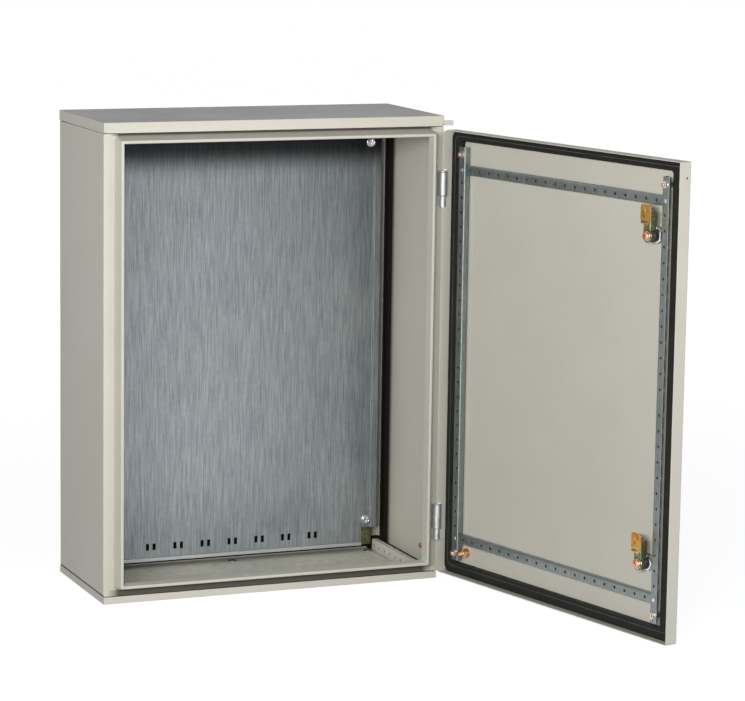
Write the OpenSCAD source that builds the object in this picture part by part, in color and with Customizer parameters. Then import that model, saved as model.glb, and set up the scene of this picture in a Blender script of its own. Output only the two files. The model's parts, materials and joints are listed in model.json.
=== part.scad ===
// Steel wall enclosure with a hinged door, two quarter-turn latches and a mounting plate.
// The origin is the centre of the four wall-fixing holes, on the outside of the back.
// +X points to the hinge side, -Y out of the front, +Z up. Heights above the base use at().

/* [Cabinet] */
// Overall width of the cabinet
body_w = 600; // [500:10:760]
// Overall height of the cabinet
body_h = 800; // [740:10:1000]
// Depth from the wall face to the front flange
body_d = 250; // [180:5:350]
// Thickness of the folded sheet
sheet_t = 1.5; // [1.2:0.1:2]
// Outside radius of the bends between the sides and the back
bend_r = 4; // [2:0.5:8]
// Height of the skirt and fascia of the top cover
top_skirt_h = 17.5; // [12:0.5:24]
// Height of the skirt and fascia of the bottom cover
bottom_skirt_h = 12; // [8:0.5:18]
// Open seam between a cover and the body shell
seam_gap = 1.2; // [0.6:0.1:2]
// Height of the tongue that laps inside each cover
tongue_h = 10; // [7:0.5:11]
// Cut-off at the lower corners of the top fascia
fascia_chamfer = 4; // [1:0.5:8]

/* [Front rim] */
// Width of the flat flange beside the rim
flange_w = 17.3; // [12:0.1:20]
// How far the rim stands in front of the flange
rim_h = 24; // [18:0.5:30]
// Width of the crown that meets the gasket
crown_w = 3.8; // [3.2:0.1:6]
// Distance from a side of the cabinet to the crown
rim_side = 23; // [21:0.5:26]
// Distance from the top of the cabinet to the crown
rim_top = 28; // [26:0.5:34]
// Distance from the base of the cabinet to the crown
rim_bottom = 29; // [26:0.5:34]
// Depth of the inner return behind the crown
rim_return = 17; // [10:0.5:17]
// Corner radius of the opening
opening_r = 5; // [3:0.5:10]
// Diameter of the drain hole in the lower return
drain_d = 4; // [2:0.5:6]

/* [Wall fixing] */
// Distance from a side of the cabinet to a wall-fixing hole
wall_side = 80; // [50:5:120]
// Distance from the top or the base to a wall-fixing hole
wall_end = 40; // [35:1:80]
// Diameter of a wall-fixing hole
wall_hole_d = 10.5; // [7:0.5:13]

/* [Mounting plate] */
// Distance from a side of the cabinet to the mounting plate
plate_side = 29; // [25:0.5:40]
// Distance from the top or the base to the mounting plate
plate_end = 17; // [12:0.5:30]
// Thickness of the mounting plate
plate_t = 2.5; // [2:0.1:3]
// Clear depth behind the mounting plate's rim
plate_back = 38.5; // [25:0.5:60]
// Width of the stepped rim of the mounting plate
plate_rim_w = 13; // [8:1:20]
// Distance from the plate's side edge to a fixing screw
plate_fix_side = 20; // [16:0.5:30]
// Distance from the plate's top or bottom edge to a fixing screw
plate_fix_end = 46.5; // [42:0.5:60]
// Width of a slot in the mounting plate
slot_w = 6; // [4:0.5:8]
// Height of a slot in the mounting plate
slot_h = 12; // [8:0.5:20]
// Distance between the two slots of a pair
slot_pair = 12; // [10:0.5:16]
// Distance between slot pairs
slot_pitch = 50; // [25:5:60]
// Number of slot pairs along an edge
slot_pairs = 7; // [3:1:7]

/* [Depth rails] */
// Height of the perforated web of a depth rail
depth_rail_h = 22.5; // [16:0.5:28]
// Distance from a side of the cabinet to the web
depth_rail_inset = 30; // [28:0.5:40]
// Distance between holes in all perforated rails
hole_pitch = 25; // [20:0.5:25]
// Diameter of the holes in the depth rails
depth_hole_d = 6; // [4:0.5:8]

/* [Gland plate] */
// Distance from a side of the cabinet to the gland plate
gland_side = 36; // [34:1:80]
// Distance from the front flange to the gland plate
gland_front = 30; // [15:1:60]
// Distance from the back to the gland plate
gland_back = 38; // [20:1:60]
// Margin of the gland plate around the cut-out
gland_margin = 14; // [12:1:20]
// Thickness of the gland plate
gland_t = 2; // [1.5:0.1:3]
// Thickness of the gland plate's gasket
gland_seal_t = 2.5; // [2:0.1:4]

/* [Door] */
// Angle of the door at rest, from closed
door_angle = 103.5; // [0:0.5:130]
// Gap between the door's side edge and the cabinet's side, seen from the front
door_side_gap = 1.5; // [0.5:0.1:3]
// Distance from the top of the cabinet to the door's upper edge
door_top = 23.5; // [18:0.5:24]
// Distance from the base of the cabinet to the door's lower edge
door_bottom = 11.5; // [8:0.5:12]
// Depth of the door from its outer face to the edge of its returns
door_depth = 23; // [20:0.5:25]
// Depth of the door's return along the hinge side
hinge_return = 28.8; // [24:0.1:32]
// Thickness of the foam gasket
gasket_t = 10; // [8:0.5:12]
// Width of the gasket along the sides
gasket_side_w = 25; // [24:0.5:27]
// Width of the gasket along the top
gasket_top_w = 16; // [14:0.5:20]
// Width of the gasket along the bottom
gasket_bottom_w = 20; // [19:0.5:24]
// Clearance between the closed door's gasket and the crown
seal_gap = 0.3; // [0.2:0.1:1]

/* [Door frame] */
// Width of a perforated door rail
rail_w = 15.6; // [14:0.1:18]
// Depth of a rail's flanges
rail_flange = 10.3; // [8:0.1:11]
// Height of a vertical rail's face above the door skin
rail_rise = 14; // [13:0.1:15]
// Distance from the door's hinge edge to the nearer vertical rail's hole line
rail_hinge_inset = 36; // [35.8:0.1:38]
// Distance from the door's free edge to the nearer vertical rail's hole line
rail_latch_inset = 41; // [37:0.5:43]
// Distance from the door's top or bottom edge to the end of a vertical rail
rail_end = 27; // [25:0.5:30]
// Distance from the door's top or bottom edge to a horizontal rail's hole line
cross_rail_end = 65.2; // [60:0.2:75]
// Diameter of the holes in the door rails
rail_hole_d = 4.5; // [3:0.1:6]
// Distance between the two rows nearest the middle of a vertical rail
rail_mid_gap = 41; // [25:0.5:45]
// Distance from the door's top or bottom edge to a stud that holds a rail
rail_stud_end = 39.5; // [36:0.5:42]

/* [Hinges] */
// Distance from the cabinet's side to the hinge axis
hinge_in = 3; // [2.5:0.1:4]
// Distance from the flange forward to the hinge axis
hinge_out = 7.2; // [7:0.1:9]
// Height above the base of the lower barrel's lower end
hinge_low_z = 90; // [80:1:120]
// Distance from the top of the cabinet to the upper barrel's lower end
hinge_top_z = 134; // [120:1:160]
// Radius of the cabinet-side barrel
barrel_r = 6.6; // [5.8:0.1:6.8]
// Length of the cabinet-side barrel
barrel_len = 39; // [30:1:45]
// Radius of the door-side knuckle
knuckle_r = 5.4; // [4.6:0.1:6]
// Length of the door-side knuckle
knuckle_len = 19; // [15:1:25]
// Radius of the hinge pin
pin_r = 2.95; // [2.4:0.05:3.2]
// Radial clearance of the pin in the barrel
pin_fit = 0.05; // [0.02:0.01:0.1]
// Thickness of the hinge leaves
leaf_t = 2.5; // [2:0.1:3]

/* [Latches] */
// Distance from the door's free edge to a latch axis
latch_inset = 69.5; // [66:0.5:75]
// Height of the lower latch axis above the base
latch_low_z = 131; // [110:1:200]
// Distance of the upper latch axis from the top
latch_top_z = 145.5; // [120:0.5:220]
// Length of a cam from its axis to its tip
cam_len = 49; // [46:0.5:50]
// Thickness of a cam
cam_t = 3; // [2:0.1:3]
// Width of a cam's tongue
tongue_w = 28; // [18:1:30]
// Width of a cam's neck
neck_w = 18; // [14:1:20]
// Radius of the turning insert
insert_r = 7; // [6:0.1:8]
// Radial clearance of the insert in its housing
insert_fit = 0.06; // [0.03:0.01:0.1]

/* [Hidden] */
$fn = 64;

sliver = 0.1;         // overlap that makes a cut pass clean through a face
play = 0.3;           // assembly clearance between separate pieces
half_w = body_w / 2;
front_y = -body_d;
inner_x = half_w - sheet_t;
back_in_y = -sheet_t;

// Front rim: half-width and heights of the crown's outer outline
crown_x = half_w - rim_side;
slope = rim_side - flange_w;
opening_x = crown_x - crown_w;

// Wall-fixing holes
wall_x = body_w - 2 * wall_side;
wall_z = body_h - 2 * wall_end;
lap = 3;

// Mounting plate: the stepped rim is one plate thickness behind the face
plate_w = body_w - 2 * plate_side;
plate_h = body_h - 2 * plate_end;
plate_rim_y = back_in_y - plate_back - plate_t;
plate_face_y = plate_rim_y - plate_t;
plate_fix_x = plate_w / 2 - plate_fix_side;
plate_fix_z = plate_h / 2 - plate_fix_end;
notch_w = 28;
notch_h = 33;
plate_lap = 3;
bracket_w = 26;
bracket_h = 60;
bracket_t = 2.5;
bracket_relief = 12;
m8_r = 4;
m8_head_r = 7;
m8_head_h = 4.5;
m8_washer_r = 8;
m8_washer_t = 1.6;
spacer_r = 6.5;
m8_nut = 13;
m8_nut_h = 6.5;

// Door, in its own frame: the hinge axis is the origin and the closed door reaches to -X
hinge_x = half_w - hinge_in;
hinge_y = front_y - hinge_out;
door_w = body_w - 2 * door_side_gap;
door_edge = hinge_in - door_side_gap;
door_free = door_edge - door_w;
door_mid = door_edge - door_w / 2;
door_z0 = at(door_bottom);
door_z1 = at(body_h - door_top);
door_h = door_z1 - door_z0;
door_mid_z = (door_z0 + door_z1) / 2;
skin_in = hinge_out - rim_h - seal_gap - gasket_t;
skin_out = skin_in - sheet_t;

// Gland plate and the cut-out under it
gland_w = body_w - 2 * gland_side - 2 * gland_margin;
gland_d = body_d - gland_front - gland_back - 2 * gland_margin;
gland_y = front_y + gland_front + gland_margin + gland_d / 2;

// Hinge feet above the base, the notch in the return and the parts along the axis
hinge_feet = [hinge_low_z, body_h - hinge_top_z];
washer_r = hinge_out - play;
washer_t = 1.4;
pin_head_r = 6.5;
pin_head_h = 2.5;
hinge_step = washer_t + 2 * play;
notch_play = 1.5;
leaf_plate_h = 94;
leaf_plate_w = 12;
m4_r = 2;
m4_nut = 7;
m4_nut_h = 3.2;

// Door rails and studs
m6_r = 3;
m6_nut = 10;
m6_nut_h = 5;
rail_t = 1.5;
rail_len = door_h - 2 * rail_end;
cross_rail_gap = door_h - 2 * cross_rail_end;
rail_stud_gap = door_h - 2 * rail_stud_end;
rail_half_span = cross_rail_gap / 2 - rail_w / 2 - 8 - rail_mid_gap / 2;
rail_half_holes = floor(rail_half_span / hole_pitch) + 1;
rail_face = skin_in + rail_rise;
stud_collar_r = 5;
rivet_r = 2;
rivet_head_r = 3.4;
door_earth_x = -52;
door_earth_z = at(52);

// Latches
latch_feet = [latch_low_z, body_h - latch_top_z];
latch_x = door_free + latch_inset;
housing_r = 10.5;
collar_r = 13.5;
collar_h = 3;
housing_in = 16;
lock_nut_af = 24;
lock_nut_h = 7;
hub_rise = 22;
tongue_rise = 28;
joggle_at = 22;
cam_flange = 12.5;
cam_flange_z = 10;
cam_flange_len = 30;
key_r = 4.2;
square_w = 8;

// Height above the base, as a place in the part's frame
function at(h) = h - body_h / 2;

// A rectangle with round corners between two corners
module rounded_rect(x0, z0, x1, z1, r) {
    translate([x0 + r, z0 + r]) offset(r = r) square([x1 - x0 - 2 * r, z1 - z0 - 2 * r]);
}

// Extrudes a front-view outline from y0 back to y1
module front_view(y0, y1) {
    translate([0, y1, 0]) rotate([90, 0, 0]) linear_extrude(y1 - y0) children();
}

// A round bar along Y from y0 to y1
module bar_y(r, y0, y1) {
    translate([0, y1, 0]) rotate([90, 0, 0]) cylinder(r = r, h = y1 - y0);
}

// A hexagon prism along Y, measured across its flats
module hex_y(af, y0, y1) {
    translate([0, y1, 0]) rotate([90, 0, 0]) cylinder(r = af / sqrt(3), h = y1 - y0, $fn = 6);
}

module mirror_x() {
    children();
    mirror([1, 0, 0]) children();
}

// ---------- cabinet ----------

module shell_outline(inset, front) {
    r = max(bend_r - inset, 0.5);
    w = half_w - inset;
    difference() {
        translate([-w, front]) square([2 * w, -inset - front]);
        for (s = [-1, 1]) translate([s * w, -inset]) corner_cut(r);
    }
}

// Square minus quarter circle, centred on a corner, that rounds it off
module corner_cut(r) {
    difference() {
        square(2 * r, center = true);
        for (sx = [-1, 1]) translate([sx * r, -r]) circle(r);
    }
}

module body_shell() {
    z0 = at(bottom_skirt_h + seam_gap);
    z1 = at(body_h - top_skirt_h - seam_gap);
    front = front_y + sheet_t;
    color("#b9b6a9") difference() {
        union() {
            translate([0, 0, z0]) linear_extrude(z1 - z0) difference() {
                shell_outline(0, front);
                shell_outline(sheet_t, front - 1);
            }
            for (z = [z0 + lap - tongue_h, z1 - lap])
                translate([0, 0, z]) linear_extrude(tongue_h) difference() {
                    shell_outline(sheet_t, front + play);
                    shell_outline(2 * sheet_t, front - 1);
                }
        }
        for (sx = [-1, 1], sz = [-1, 1])
            translate([sx * wall_x / 2, 0, sz * wall_z / 2])
                bar_y(wall_hole_d / 2, -3 * sheet_t, sliver);
    }
}

// Outline of the crown, grown by a margin
module crown_outline(grow) {
    rounded_rect(-crown_x - grow, at(rim_bottom) - grow,
        crown_x + grow, at(body_h - rim_top) + grow, opening_r + crown_w + grow);
}

// The wedge between the flange's inner edge and the crown, moved inwards by a wall
module rim_wedge(wall, y_base) {
    hull() {
        front_view(y_base - sliver, y_base) crown_outline(slope - wall);
        front_view(front_y - rim_h, front_y - rim_h + sliver) crown_outline(-wall);
    }
}

// Slot beside a barrel and the two short slots above and below it
module hinge_slots(z) {
    slot_x = hinge_x - barrel_r + leaf_t / 2;
    translate([slot_x - 2.3, front_y - sliver, z - play]) cube([4.6, sheet_t + 1, barrel_len + 2 * play]);
    for (dz = [-21.5, barrel_len + 15])
        translate([slot_x - 2.8, front_y - sliver, z + dz]) cube([3, sheet_t + 1, 8]);
}

module front_frame() {
    z0 = at(bottom_skirt_h + seam_gap);
    z1 = at(body_h - top_skirt_h - seam_gap);
    crown_y = front_y - rim_h;
    strip_x = inner_x - sheet_t - play;
    color("#c9c6b9") difference() {
        union() {
            // flat flange
            front_view(front_y, front_y + sheet_t) difference() {
                translate([-half_w, z0]) square([body_w, z1 - z0]);
                crown_outline(slope - sheet_t);
            }
            // strips, set back one sheet, that lap behind the two fascias
            front_view(front_y + sheet_t, front_y + 2 * sheet_t) {
                translate([-strip_x, at(2 * sheet_t)]) square([2 * strip_x, z0 + lap - at(2 * sheet_t)]);
                translate([-strip_x, z1 - lap]) square([2 * strip_x, at(body_h - 2 * sheet_t) - z1 + lap]);
            }
            // sloping web
            difference() {
                rim_wedge(0, front_y + sheet_t);
                rim_wedge(sheet_t, front_y + sheet_t + 1);
            }
            // crown and inner return
            front_view(crown_y, crown_y + sheet_t) difference() {
                crown_outline(-sheet_t / 2);
                crown_outline(-crown_w);
            }
            front_view(crown_y, crown_y + rim_return) difference() {
                crown_outline(-crown_w + sheet_t);
                crown_outline(-crown_w);
            }
        }
        for (z = hinge_feet) hinge_slots(at(z));
        translate([-body_w * 0.09, front_y - rim_h + 5, at(rim_bottom) + crown_w / 2])
            cylinder(d = drain_d, h = 2 * crown_w, center = true);
    }
}

// A tray that opens downwards, with its front wall proud of the flange
module cover_tray(skirt) {
    outer_d = body_d + sheet_t;
    difference() {
        translate([-half_w, front_y - sheet_t, -skirt]) cube([body_w, outer_d, skirt]);
        translate([-inner_x, front_y, -skirt - 1]) cube([2 * inner_x, body_d - sheet_t, skirt + 1 - sheet_t]);
    }
}

module top_cover() {
    color("#bdbaae") translate([0, 0, at(body_h)]) difference() {
        cover_tray(top_skirt_h);
        for (s = [-1, 1]) translate([s * half_w, front_y, -top_skirt_h]) rotate([90, 45, 0])
            cube([fascia_chamfer * sqrt(2), fascia_chamfer * sqrt(2), 4 * sheet_t], center = true);
    }
}

// Small folded lug on the right skirt of the top cover
module cover_lug() {
    reach = 17;
    run = 18;
    lug_h = 8.7;
    color("#b0ada2") translate([half_w, front_y - sheet_t, at(body_h - top_skirt_h) + 0.8])
        linear_extrude(lug_h) {
            square([reach, sheet_t]);
            square([sheet_t, run]);
        }
}

module bottom_cover() {
    color("#b5b2a6") translate([0, 0, at(0)]) difference() {
        mirror([0, 0, 1]) cover_tray(bottom_skirt_h);
        translate([-gland_w / 2, gland_y - gland_d / 2, -1]) cube([gland_w, gland_d, sheet_t + 2]);
        gland_holes(-1, m4_r + 0.2, sheet_t + 2);
    }
}

// Calls its children, or a plain hole, at every gland screw
module gland_holes(z, r, h) {
    ex = gland_w / 2 + gland_margin / 2;
    ey = gland_d / 2 + gland_margin / 2;
    for (i = [-1:1], s = [-1, 1])
        translate([i * ex, gland_y + s * ey, z]) cylinder(r = r, h = h);
}

module gland_gasket() {
    color("#2b2b2b") translate([0, 0, at(sheet_t)]) difference() {
        translate([-gland_w / 2 - gland_margin, gland_y - gland_d / 2 - gland_margin, 0])
            cube([gland_w + 2 * gland_margin, gland_d + 2 * gland_margin, gland_seal_t]);
        translate([-gland_w / 2 + 2, gland_y - gland_d / 2 + 2, -1])
            cube([gland_w - 4, gland_d - 4, gland_seal_t + 2]);
        gland_holes(-1, m4_r + 0.2, gland_seal_t + 2);
    }
}

module gland_plate() {
    color("#9aa3a4") translate([0, 0, at(sheet_t + gland_seal_t)]) difference() {
        translate([-gland_w / 2 - gland_margin, gland_y - gland_d / 2 - gland_margin, 0])
            cube([gland_w + 2 * gland_margin, gland_d + 2 * gland_margin, gland_t]);
        gland_holes(-1, m4_r + 0.2, gland_t + 2);
    }
}

module gland_screws() {
    top = sheet_t + gland_seal_t + gland_t;
    color("#c9cbcc") {
        gland_holes(at(0), m4_r, top + 1);
        gland_holes(at(top), 2 * m4_r, 2.6);
    }
}

// Folded strips that stiffen the two rear corners inside the shell
module rear_strips() {
    reach = 6;
    deep = 5;
    z0 = at(bottom_skirt_h + seam_gap + lap + play);
    z1 = at(body_h - top_skirt_h - seam_gap - lap - play);
    color("#c9c6b9") mirror_x() translate([inner_x, back_in_y, z0]) linear_extrude(z1 - z0)
        polygon([[0, -bend_r], [0, -deep], [-reach / 2, -deep], [-reach, -deep / 2], [-reach, 0], [-bend_r, 0]]);
}

// ---------- mounting plate ----------

// Places its children at the four fixing screws of the plate
module at_plate_fixings() {
    for (sx = [-1, 1], sz = [-1, 1])
        translate([sx * plate_fix_x, 0, sz * plate_fix_z]) scale([sx, 1, sz]) children();
}

module mounting_plate() {
    face_x = plate_w / 2 - plate_rim_w;
    face_z = plate_h / 2 - plate_rim_w;
    color("#9aa3a4") difference() {
        union() {
            front_view(plate_face_y, plate_rim_y)
                square([2 * face_x, 2 * face_z], center = true);
            front_view(plate_rim_y, plate_rim_y + plate_t) difference() {
                square([plate_w, plate_h], center = true);
                square([2 * (face_x - plate_lap), 2 * (face_z - plate_lap)], center = true);
            }
        }
        for (sx = [-1, 1], sz = [-1, 1])
            translate([sx * plate_w / 2, plate_rim_y, sz * plate_h / 2])
                cube([2 * notch_w, 4 * plate_t, 2 * notch_h], center = true);
        at_plate_fixings() {
            bar_y(m8_r + play, plate_face_y - 1, plate_rim_y + 1);
            bar_y(spacer_r + play, plate_rim_y, plate_rim_y + plate_t + 1);
        }
        for (s = [-1, 1], i = [0:slot_pairs - 1], k = [-1, 1])
            translate([(i - (slot_pairs - 1) / 2) * slot_pitch + k * slot_pair / 2, plate_face_y,
                s * (plate_h / 2 - 25)])
                cube([slot_w, 4 * plate_t, slot_h], center = true);
    }
}

// Folded bracket from the back panel to the rear of the plate's rim
module plate_bracket() {
    y0 = plate_rim_y + plate_t;
    x0 = -bracket_w / 2;
    end_z = plate_h / 2 - plate_fix_z;
    difference() {
        translate([0, 0, end_z - bracket_h]) linear_extrude(bracket_h) {
            translate([x0, y0]) square([bracket_w, bracket_t]);
            translate([x0, y0]) square([bracket_t, back_in_y - y0]);
            translate([x0, back_in_y - bracket_t]) square([bracket_w, bracket_t]);
        }
        translate([x0 - 1, back_in_y - bracket_t - sheet_t, end_z - bracket_relief])
            cube([bracket_w + 2, bracket_w, bracket_relief + 1]);
        bar_y(m8_r + play, y0 - 1, y0 + bracket_t + 1);
    }
}

module plate_brackets() {
    color("#7d7a4c") at_plate_fixings() plate_bracket();
}

module plate_spacers() {
    color("#c9cbcc") at_plate_fixings() difference() {
        bar_y(spacer_r, plate_rim_y, plate_rim_y + plate_t);
        bar_y(m8_r + play, plate_rim_y - 1, plate_rim_y + plate_t + 1);
    }
}

module plate_screws() {
    head_y = plate_face_y - m8_washer_t;
    color("#d7d9da") at_plate_fixings() difference() {
        union() {
            bar_y(m8_washer_r, head_y, plate_face_y);
            bar_y(m8_head_r, head_y - m8_head_h, head_y);
            bar_y(m8_r, head_y, plate_rim_y + plate_t + bracket_t + m8_nut_h + 2);
        }
        for (a = [0, 90]) rotate([0, a, 0]) translate([0, head_y - m8_head_h, 0])
            cube([1.6, 5, 9], center = true);
    }
}

module plate_nuts() {
    y0 = plate_rim_y + plate_t + bracket_t;
    color("#c9cbcc") at_plate_fixings() difference() {
        hex_y(m8_nut, y0, y0 + m8_nut_h);
        bar_y(m8_r + 0.05, y0 - 1, y0 + m8_nut_h + 1);
    }
}

// ---------- depth rails ----------

// Channel with a perforated web that faces the middle, on the floor of the right side
module depth_rail() {
    y0 = front_y + 2 * sheet_t + play;
    y1 = plate_rim_y + plate_t + 8;
    x0 = half_w - depth_rail_inset;
    run = y1 - y0;
    holes = floor((run - 12) / hole_pitch);
    top = sheet_t + depth_rail_h;
    difference() {
        translate([0, y1, at(0)]) rotate([90, 0, 0]) linear_extrude(run) {
            translate([x0, sheet_t]) square([sheet_t, depth_rail_h]);
            translate([x0, sheet_t]) square([inner_x - sheet_t - play - x0, sheet_t]);
            translate([x0, top - sheet_t]) square([10, sheet_t]);
        }
        for (i = [0:holes])
            translate([x0 + sheet_t / 2, y1 - 6 - i * hole_pitch, at(sheet_t + depth_rail_h / 2)])
                rotate([0, 90, 0]) cylinder(d = depth_hole_d, h = 3 * sheet_t, center = true);
    }
}

module depth_rail_bottom_right() {
    color("#b9b6a9") depth_rail();
}

module depth_rail_bottom_left() {
    color("#b9b6a9") mirror([1, 0, 0]) depth_rail();
}

module depth_rail_top_right() {
    color("#b9b6a9") mirror([0, 0, 1]) depth_rail();
}

module depth_rail_top_left() {
    color("#b9b6a9") mirror([1, 0, 0]) mirror([0, 0, 1]) depth_rail();
}

// ---------- earth studs ----------

earth_len = 22;
earth_washer_r = 8.5;
earth_seat = 3;
earth_bush_r = 4.4;
earth_bush_len = 2.8;
m5_r = 2.5;

// Stud with a welded base and a copper washer, standing out towards +Y
module earth_stud() {
    bar_y(m8_r, 0, earth_len);
    bar_y(earth_washer_r, 0, earth_seat);
}

module earth_nut() {
    difference() {
        hex_y(m8_nut, earth_seat, earth_seat + m8_nut_h);
        bar_y(m8_r + 0.05, earth_seat - 1, earth_seat + m8_nut_h + 1);
    }
}

// Threaded bush for the cabinet's earth screw, standing out of the right wall
module body_earth_bush() {
    color("#b06a3a") translate([inner_x, front_y + 62.5, at(44)]) rotate([0, 0, 90]) difference() {
        bar_y(earth_bush_r, 0, earth_bush_len);
        bar_y(m5_r, -1, earth_bush_len + 1);
    }
}

// ---------- cabinet side of the hinges ----------

// Barrel in front of the flange, on a leaf that passes its slot to a plate behind it
module hinge_leaf() {
    leaf_x = -barrel_r;
    flange_in = hinge_out + sheet_t;
    difference() {
        union() {
            cylinder(r = barrel_r, h = barrel_len);
            translate([leaf_x, 0, 0]) cube([leaf_t, flange_in + leaf_t, barrel_len]);
            translate([leaf_x - 7.5, flange_in, barrel_len / 2 - leaf_plate_h / 2])
                cube([leaf_plate_w, leaf_t, leaf_plate_h]);
        }
        translate([0, 0, -1]) cylinder(r = pin_r + pin_fit, h = barrel_len + 2);
        for (s = [-1, 1]) translate([leaf_x - 3.5, 0, barrel_len / 2 + s * (barrel_len / 2 + 7)])
            bar_y(m4_r + 0.15, flange_in - 1, flange_in + leaf_t + 1);
    }
}

// Places its children at the foot of a barrel
module at_hinge(z) {
    translate([hinge_x, hinge_y, at(z)]) children();
}

module hinge_leaf_upper() {
    color("#cfd2d4") at_hinge(hinge_feet[1]) hinge_leaf();
}

module hinge_leaf_lower() {
    color("#cfd2d4") at_hinge(hinge_feet[0]) hinge_leaf();
}

// Calls its children at each of the four studs behind the flange
module at_hinge_studs() {
    for (z = hinge_feet, s = [-1, 1])
        at_hinge(z) translate([-barrel_r - 3.5, hinge_out + sheet_t,
            barrel_len / 2 + s * (barrel_len / 2 + 7)]) children();
}

module hinge_studs() {
    color("#b06a3a") at_hinge_studs() bar_y(m4_r, 0, leaf_t + m4_nut_h + 2);
}

module hinge_nuts() {
    color("#c9cbcc") at_hinge_studs() difference() {
        hex_y(m4_nut, leaf_t, leaf_t + m4_nut_h);
        bar_y(m4_r + 0.05, leaf_t - 1, leaf_t + m4_nut_h + 1);
    }
}

// ---------- door ----------

// Puts a piece modelled in the door's own frame where the open door holds it
module door_place() {
    translate([hinge_x, hinge_y, 0]) rotate([0, 0, door_angle]) children();
}

// Calls its children at both latch axes, in the door's own frame
module at_latches() {
    for (z = latch_feet) translate([latch_x, 0, at(z)]) children();
}

// Notch in the hinge-side return around one whole hinge
module hinge_notch(z) {
    low = z - hinge_step - knuckle_len - notch_play;
    high = z + barrel_len + play + pin_head_h + notch_play;
    translate([door_edge - sheet_t - 1, -washer_r - notch_play, at(low)])
        cube([sheet_t + 2, 20, high - low]);
}

module door_panel() {
    color("#c0bdb0") door_place() difference() {
        union() {
            translate([door_free, skin_out, door_z0]) cube([door_w, door_depth, door_h]);
            translate([door_edge - sheet_t, skin_out, door_z0]) cube([sheet_t, hinge_return, door_h]);
        }
        translate([door_free + sheet_t, skin_in, door_z0 + sheet_t])
            cube([door_w - 2 * sheet_t, door_depth, door_h - 2 * sheet_t]);
        for (z = hinge_feet) hinge_notch(z);
        at_latches() bar_y(housing_r + 0.2, skin_out - 1, skin_in + 1);
        translate([door_free, skin_out + 8, door_z1 - 26]) rotate([0, 90, 0])
            cylinder(r = 2, h = 4 * sheet_t, center = true);
    }
}

module door_gasket() {
    color("#26282a") door_place() front_view(skin_in, skin_in + gasket_t) difference() {
        rounded_rect(door_free + sheet_t, door_z0 + sheet_t,
            door_edge - sheet_t, door_z1 - sheet_t, 14);
        rounded_rect(door_free + sheet_t + gasket_side_w, door_z0 + sheet_t + gasket_bottom_w,
            door_edge - sheet_t - gasket_side_w, door_z1 - sheet_t - gasket_top_w, 6);
    }
}

rail_hinge_x = door_edge - rail_hinge_inset;
rail_latch_x = door_free + rail_latch_inset;
cross_z = [door_mid_z - cross_rail_gap / 2, door_mid_z + cross_rail_gap / 2];
stud_z = [door_mid_z - rail_stud_gap / 2, door_mid_z + rail_stud_gap / 2];
cross_face = rail_face - rail_t;

// Channel section that opens towards the skin, as seen along the rail
module rail_section(face) {
    translate([-rail_w / 2, face - rail_t]) square([rail_w, rail_t]);
    for (s = [-1, 1])
        translate([s * (rail_w / 2 - rail_t / 2), face - rail_flange / 2])
            square([rail_t, rail_flange], center = true);
}

// Vertical rail; inner is +1 or -1, the side on which the cross rails pass its flange
module vertical_rail(x, inner) {
    difference() {
        translate([x, 0, door_mid_z - rail_len / 2]) linear_extrude(rail_len) rail_section(rail_face);
        for (s = [-1, 1], i = [0:rail_half_holes - 1])
            translate([x, 0, door_mid_z + s * (rail_mid_gap / 2 + i * hole_pitch)])
                bar_y(rail_hole_d / 2, rail_face - 2 * rail_t, rail_face + 1);
        for (z = cross_z) {
            translate([x + inner * rail_w / 2 - 2 * rail_t, rail_face - rail_flange - 1, z - rail_w / 2 - play])
                cube([4 * rail_t, rail_flange + 1 - rail_t, rail_w + 2 * play]);
            translate([x, 0, z]) bar_y(rivet_r + 0.1, rail_face - 2 * rail_t, rail_face + 1);
        }
        for (z = stud_z) translate([x, 0, z]) bar_y(m6_r + 0.2, rail_face - 2 * rail_t, rail_face + 1);
    }
}

module door_rail_hinge_side() {
    color("#8d9698") door_place() vertical_rail(rail_hinge_x, -1);
}

module door_rail_latch_side() {
    color("#8d9698") door_place() vertical_rail(rail_latch_x, 1);
}

// Horizontal rail, one sheet lower, whose face runs on under the vertical rails
module cross_rail(z) {
    x0 = rail_latch_x + rail_w / 2 + play;
    x1 = rail_hinge_x - rail_w / 2 - play;
    tab = rail_w - rail_t - 2 * play;
    holes = floor((x1 - x0 - rail_w) / hole_pitch);
    first = (x0 + x1) / 2 - holes / 2 * hole_pitch;
    difference() {
        union() {
            translate([x0, 0, z]) rotate([90, 0, 90]) linear_extrude(x1 - x0)
                cross_section();
            translate([x0 - tab, cross_face - rail_t, z - rail_w / 2])
                cube([x1 - x0 + 2 * tab, rail_t, rail_w]);
        }
        for (i = [0:holes])
            translate([first + i * hole_pitch, 0, z])
                bar_y(rail_hole_d / 2, cross_face - 2 * rail_t, cross_face + 1);
        for (x = [rail_latch_x, rail_hinge_x])
            translate([x, 0, z]) bar_y(rivet_r + 0.1, cross_face - 2 * rail_t, cross_face + 1);
    }
}

// The same channel, laid so that its first axis is the door's depth
module cross_section() {
    translate([cross_face - rail_t, -rail_w / 2]) square([rail_t, rail_w]);
    for (s = [-1, 1])
        translate([cross_face - rail_flange / 2, s * (rail_w / 2 - rail_t / 2)])
            square([rail_flange, rail_t], center = true);
}

module door_rail_top() {
    color("#8d9698") door_place() cross_rail(cross_z[1]);
}

module door_rail_bottom() {
    color("#8d9698") door_place() cross_rail(cross_z[0]);
}

module rail_rivets() {
    color("#a7adaf") door_place() for (x = [rail_hinge_x, rail_latch_x], z = cross_z)
        translate([x, 0, z]) {
            bar_y(rivet_r, cross_face - rail_t - 1.5, rail_face);
            bar_y(rivet_head_r, rail_face, rail_face + 1);
            bar_y(rivet_head_r, cross_face - rail_t - 1, cross_face - rail_t);
        }
}

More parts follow.
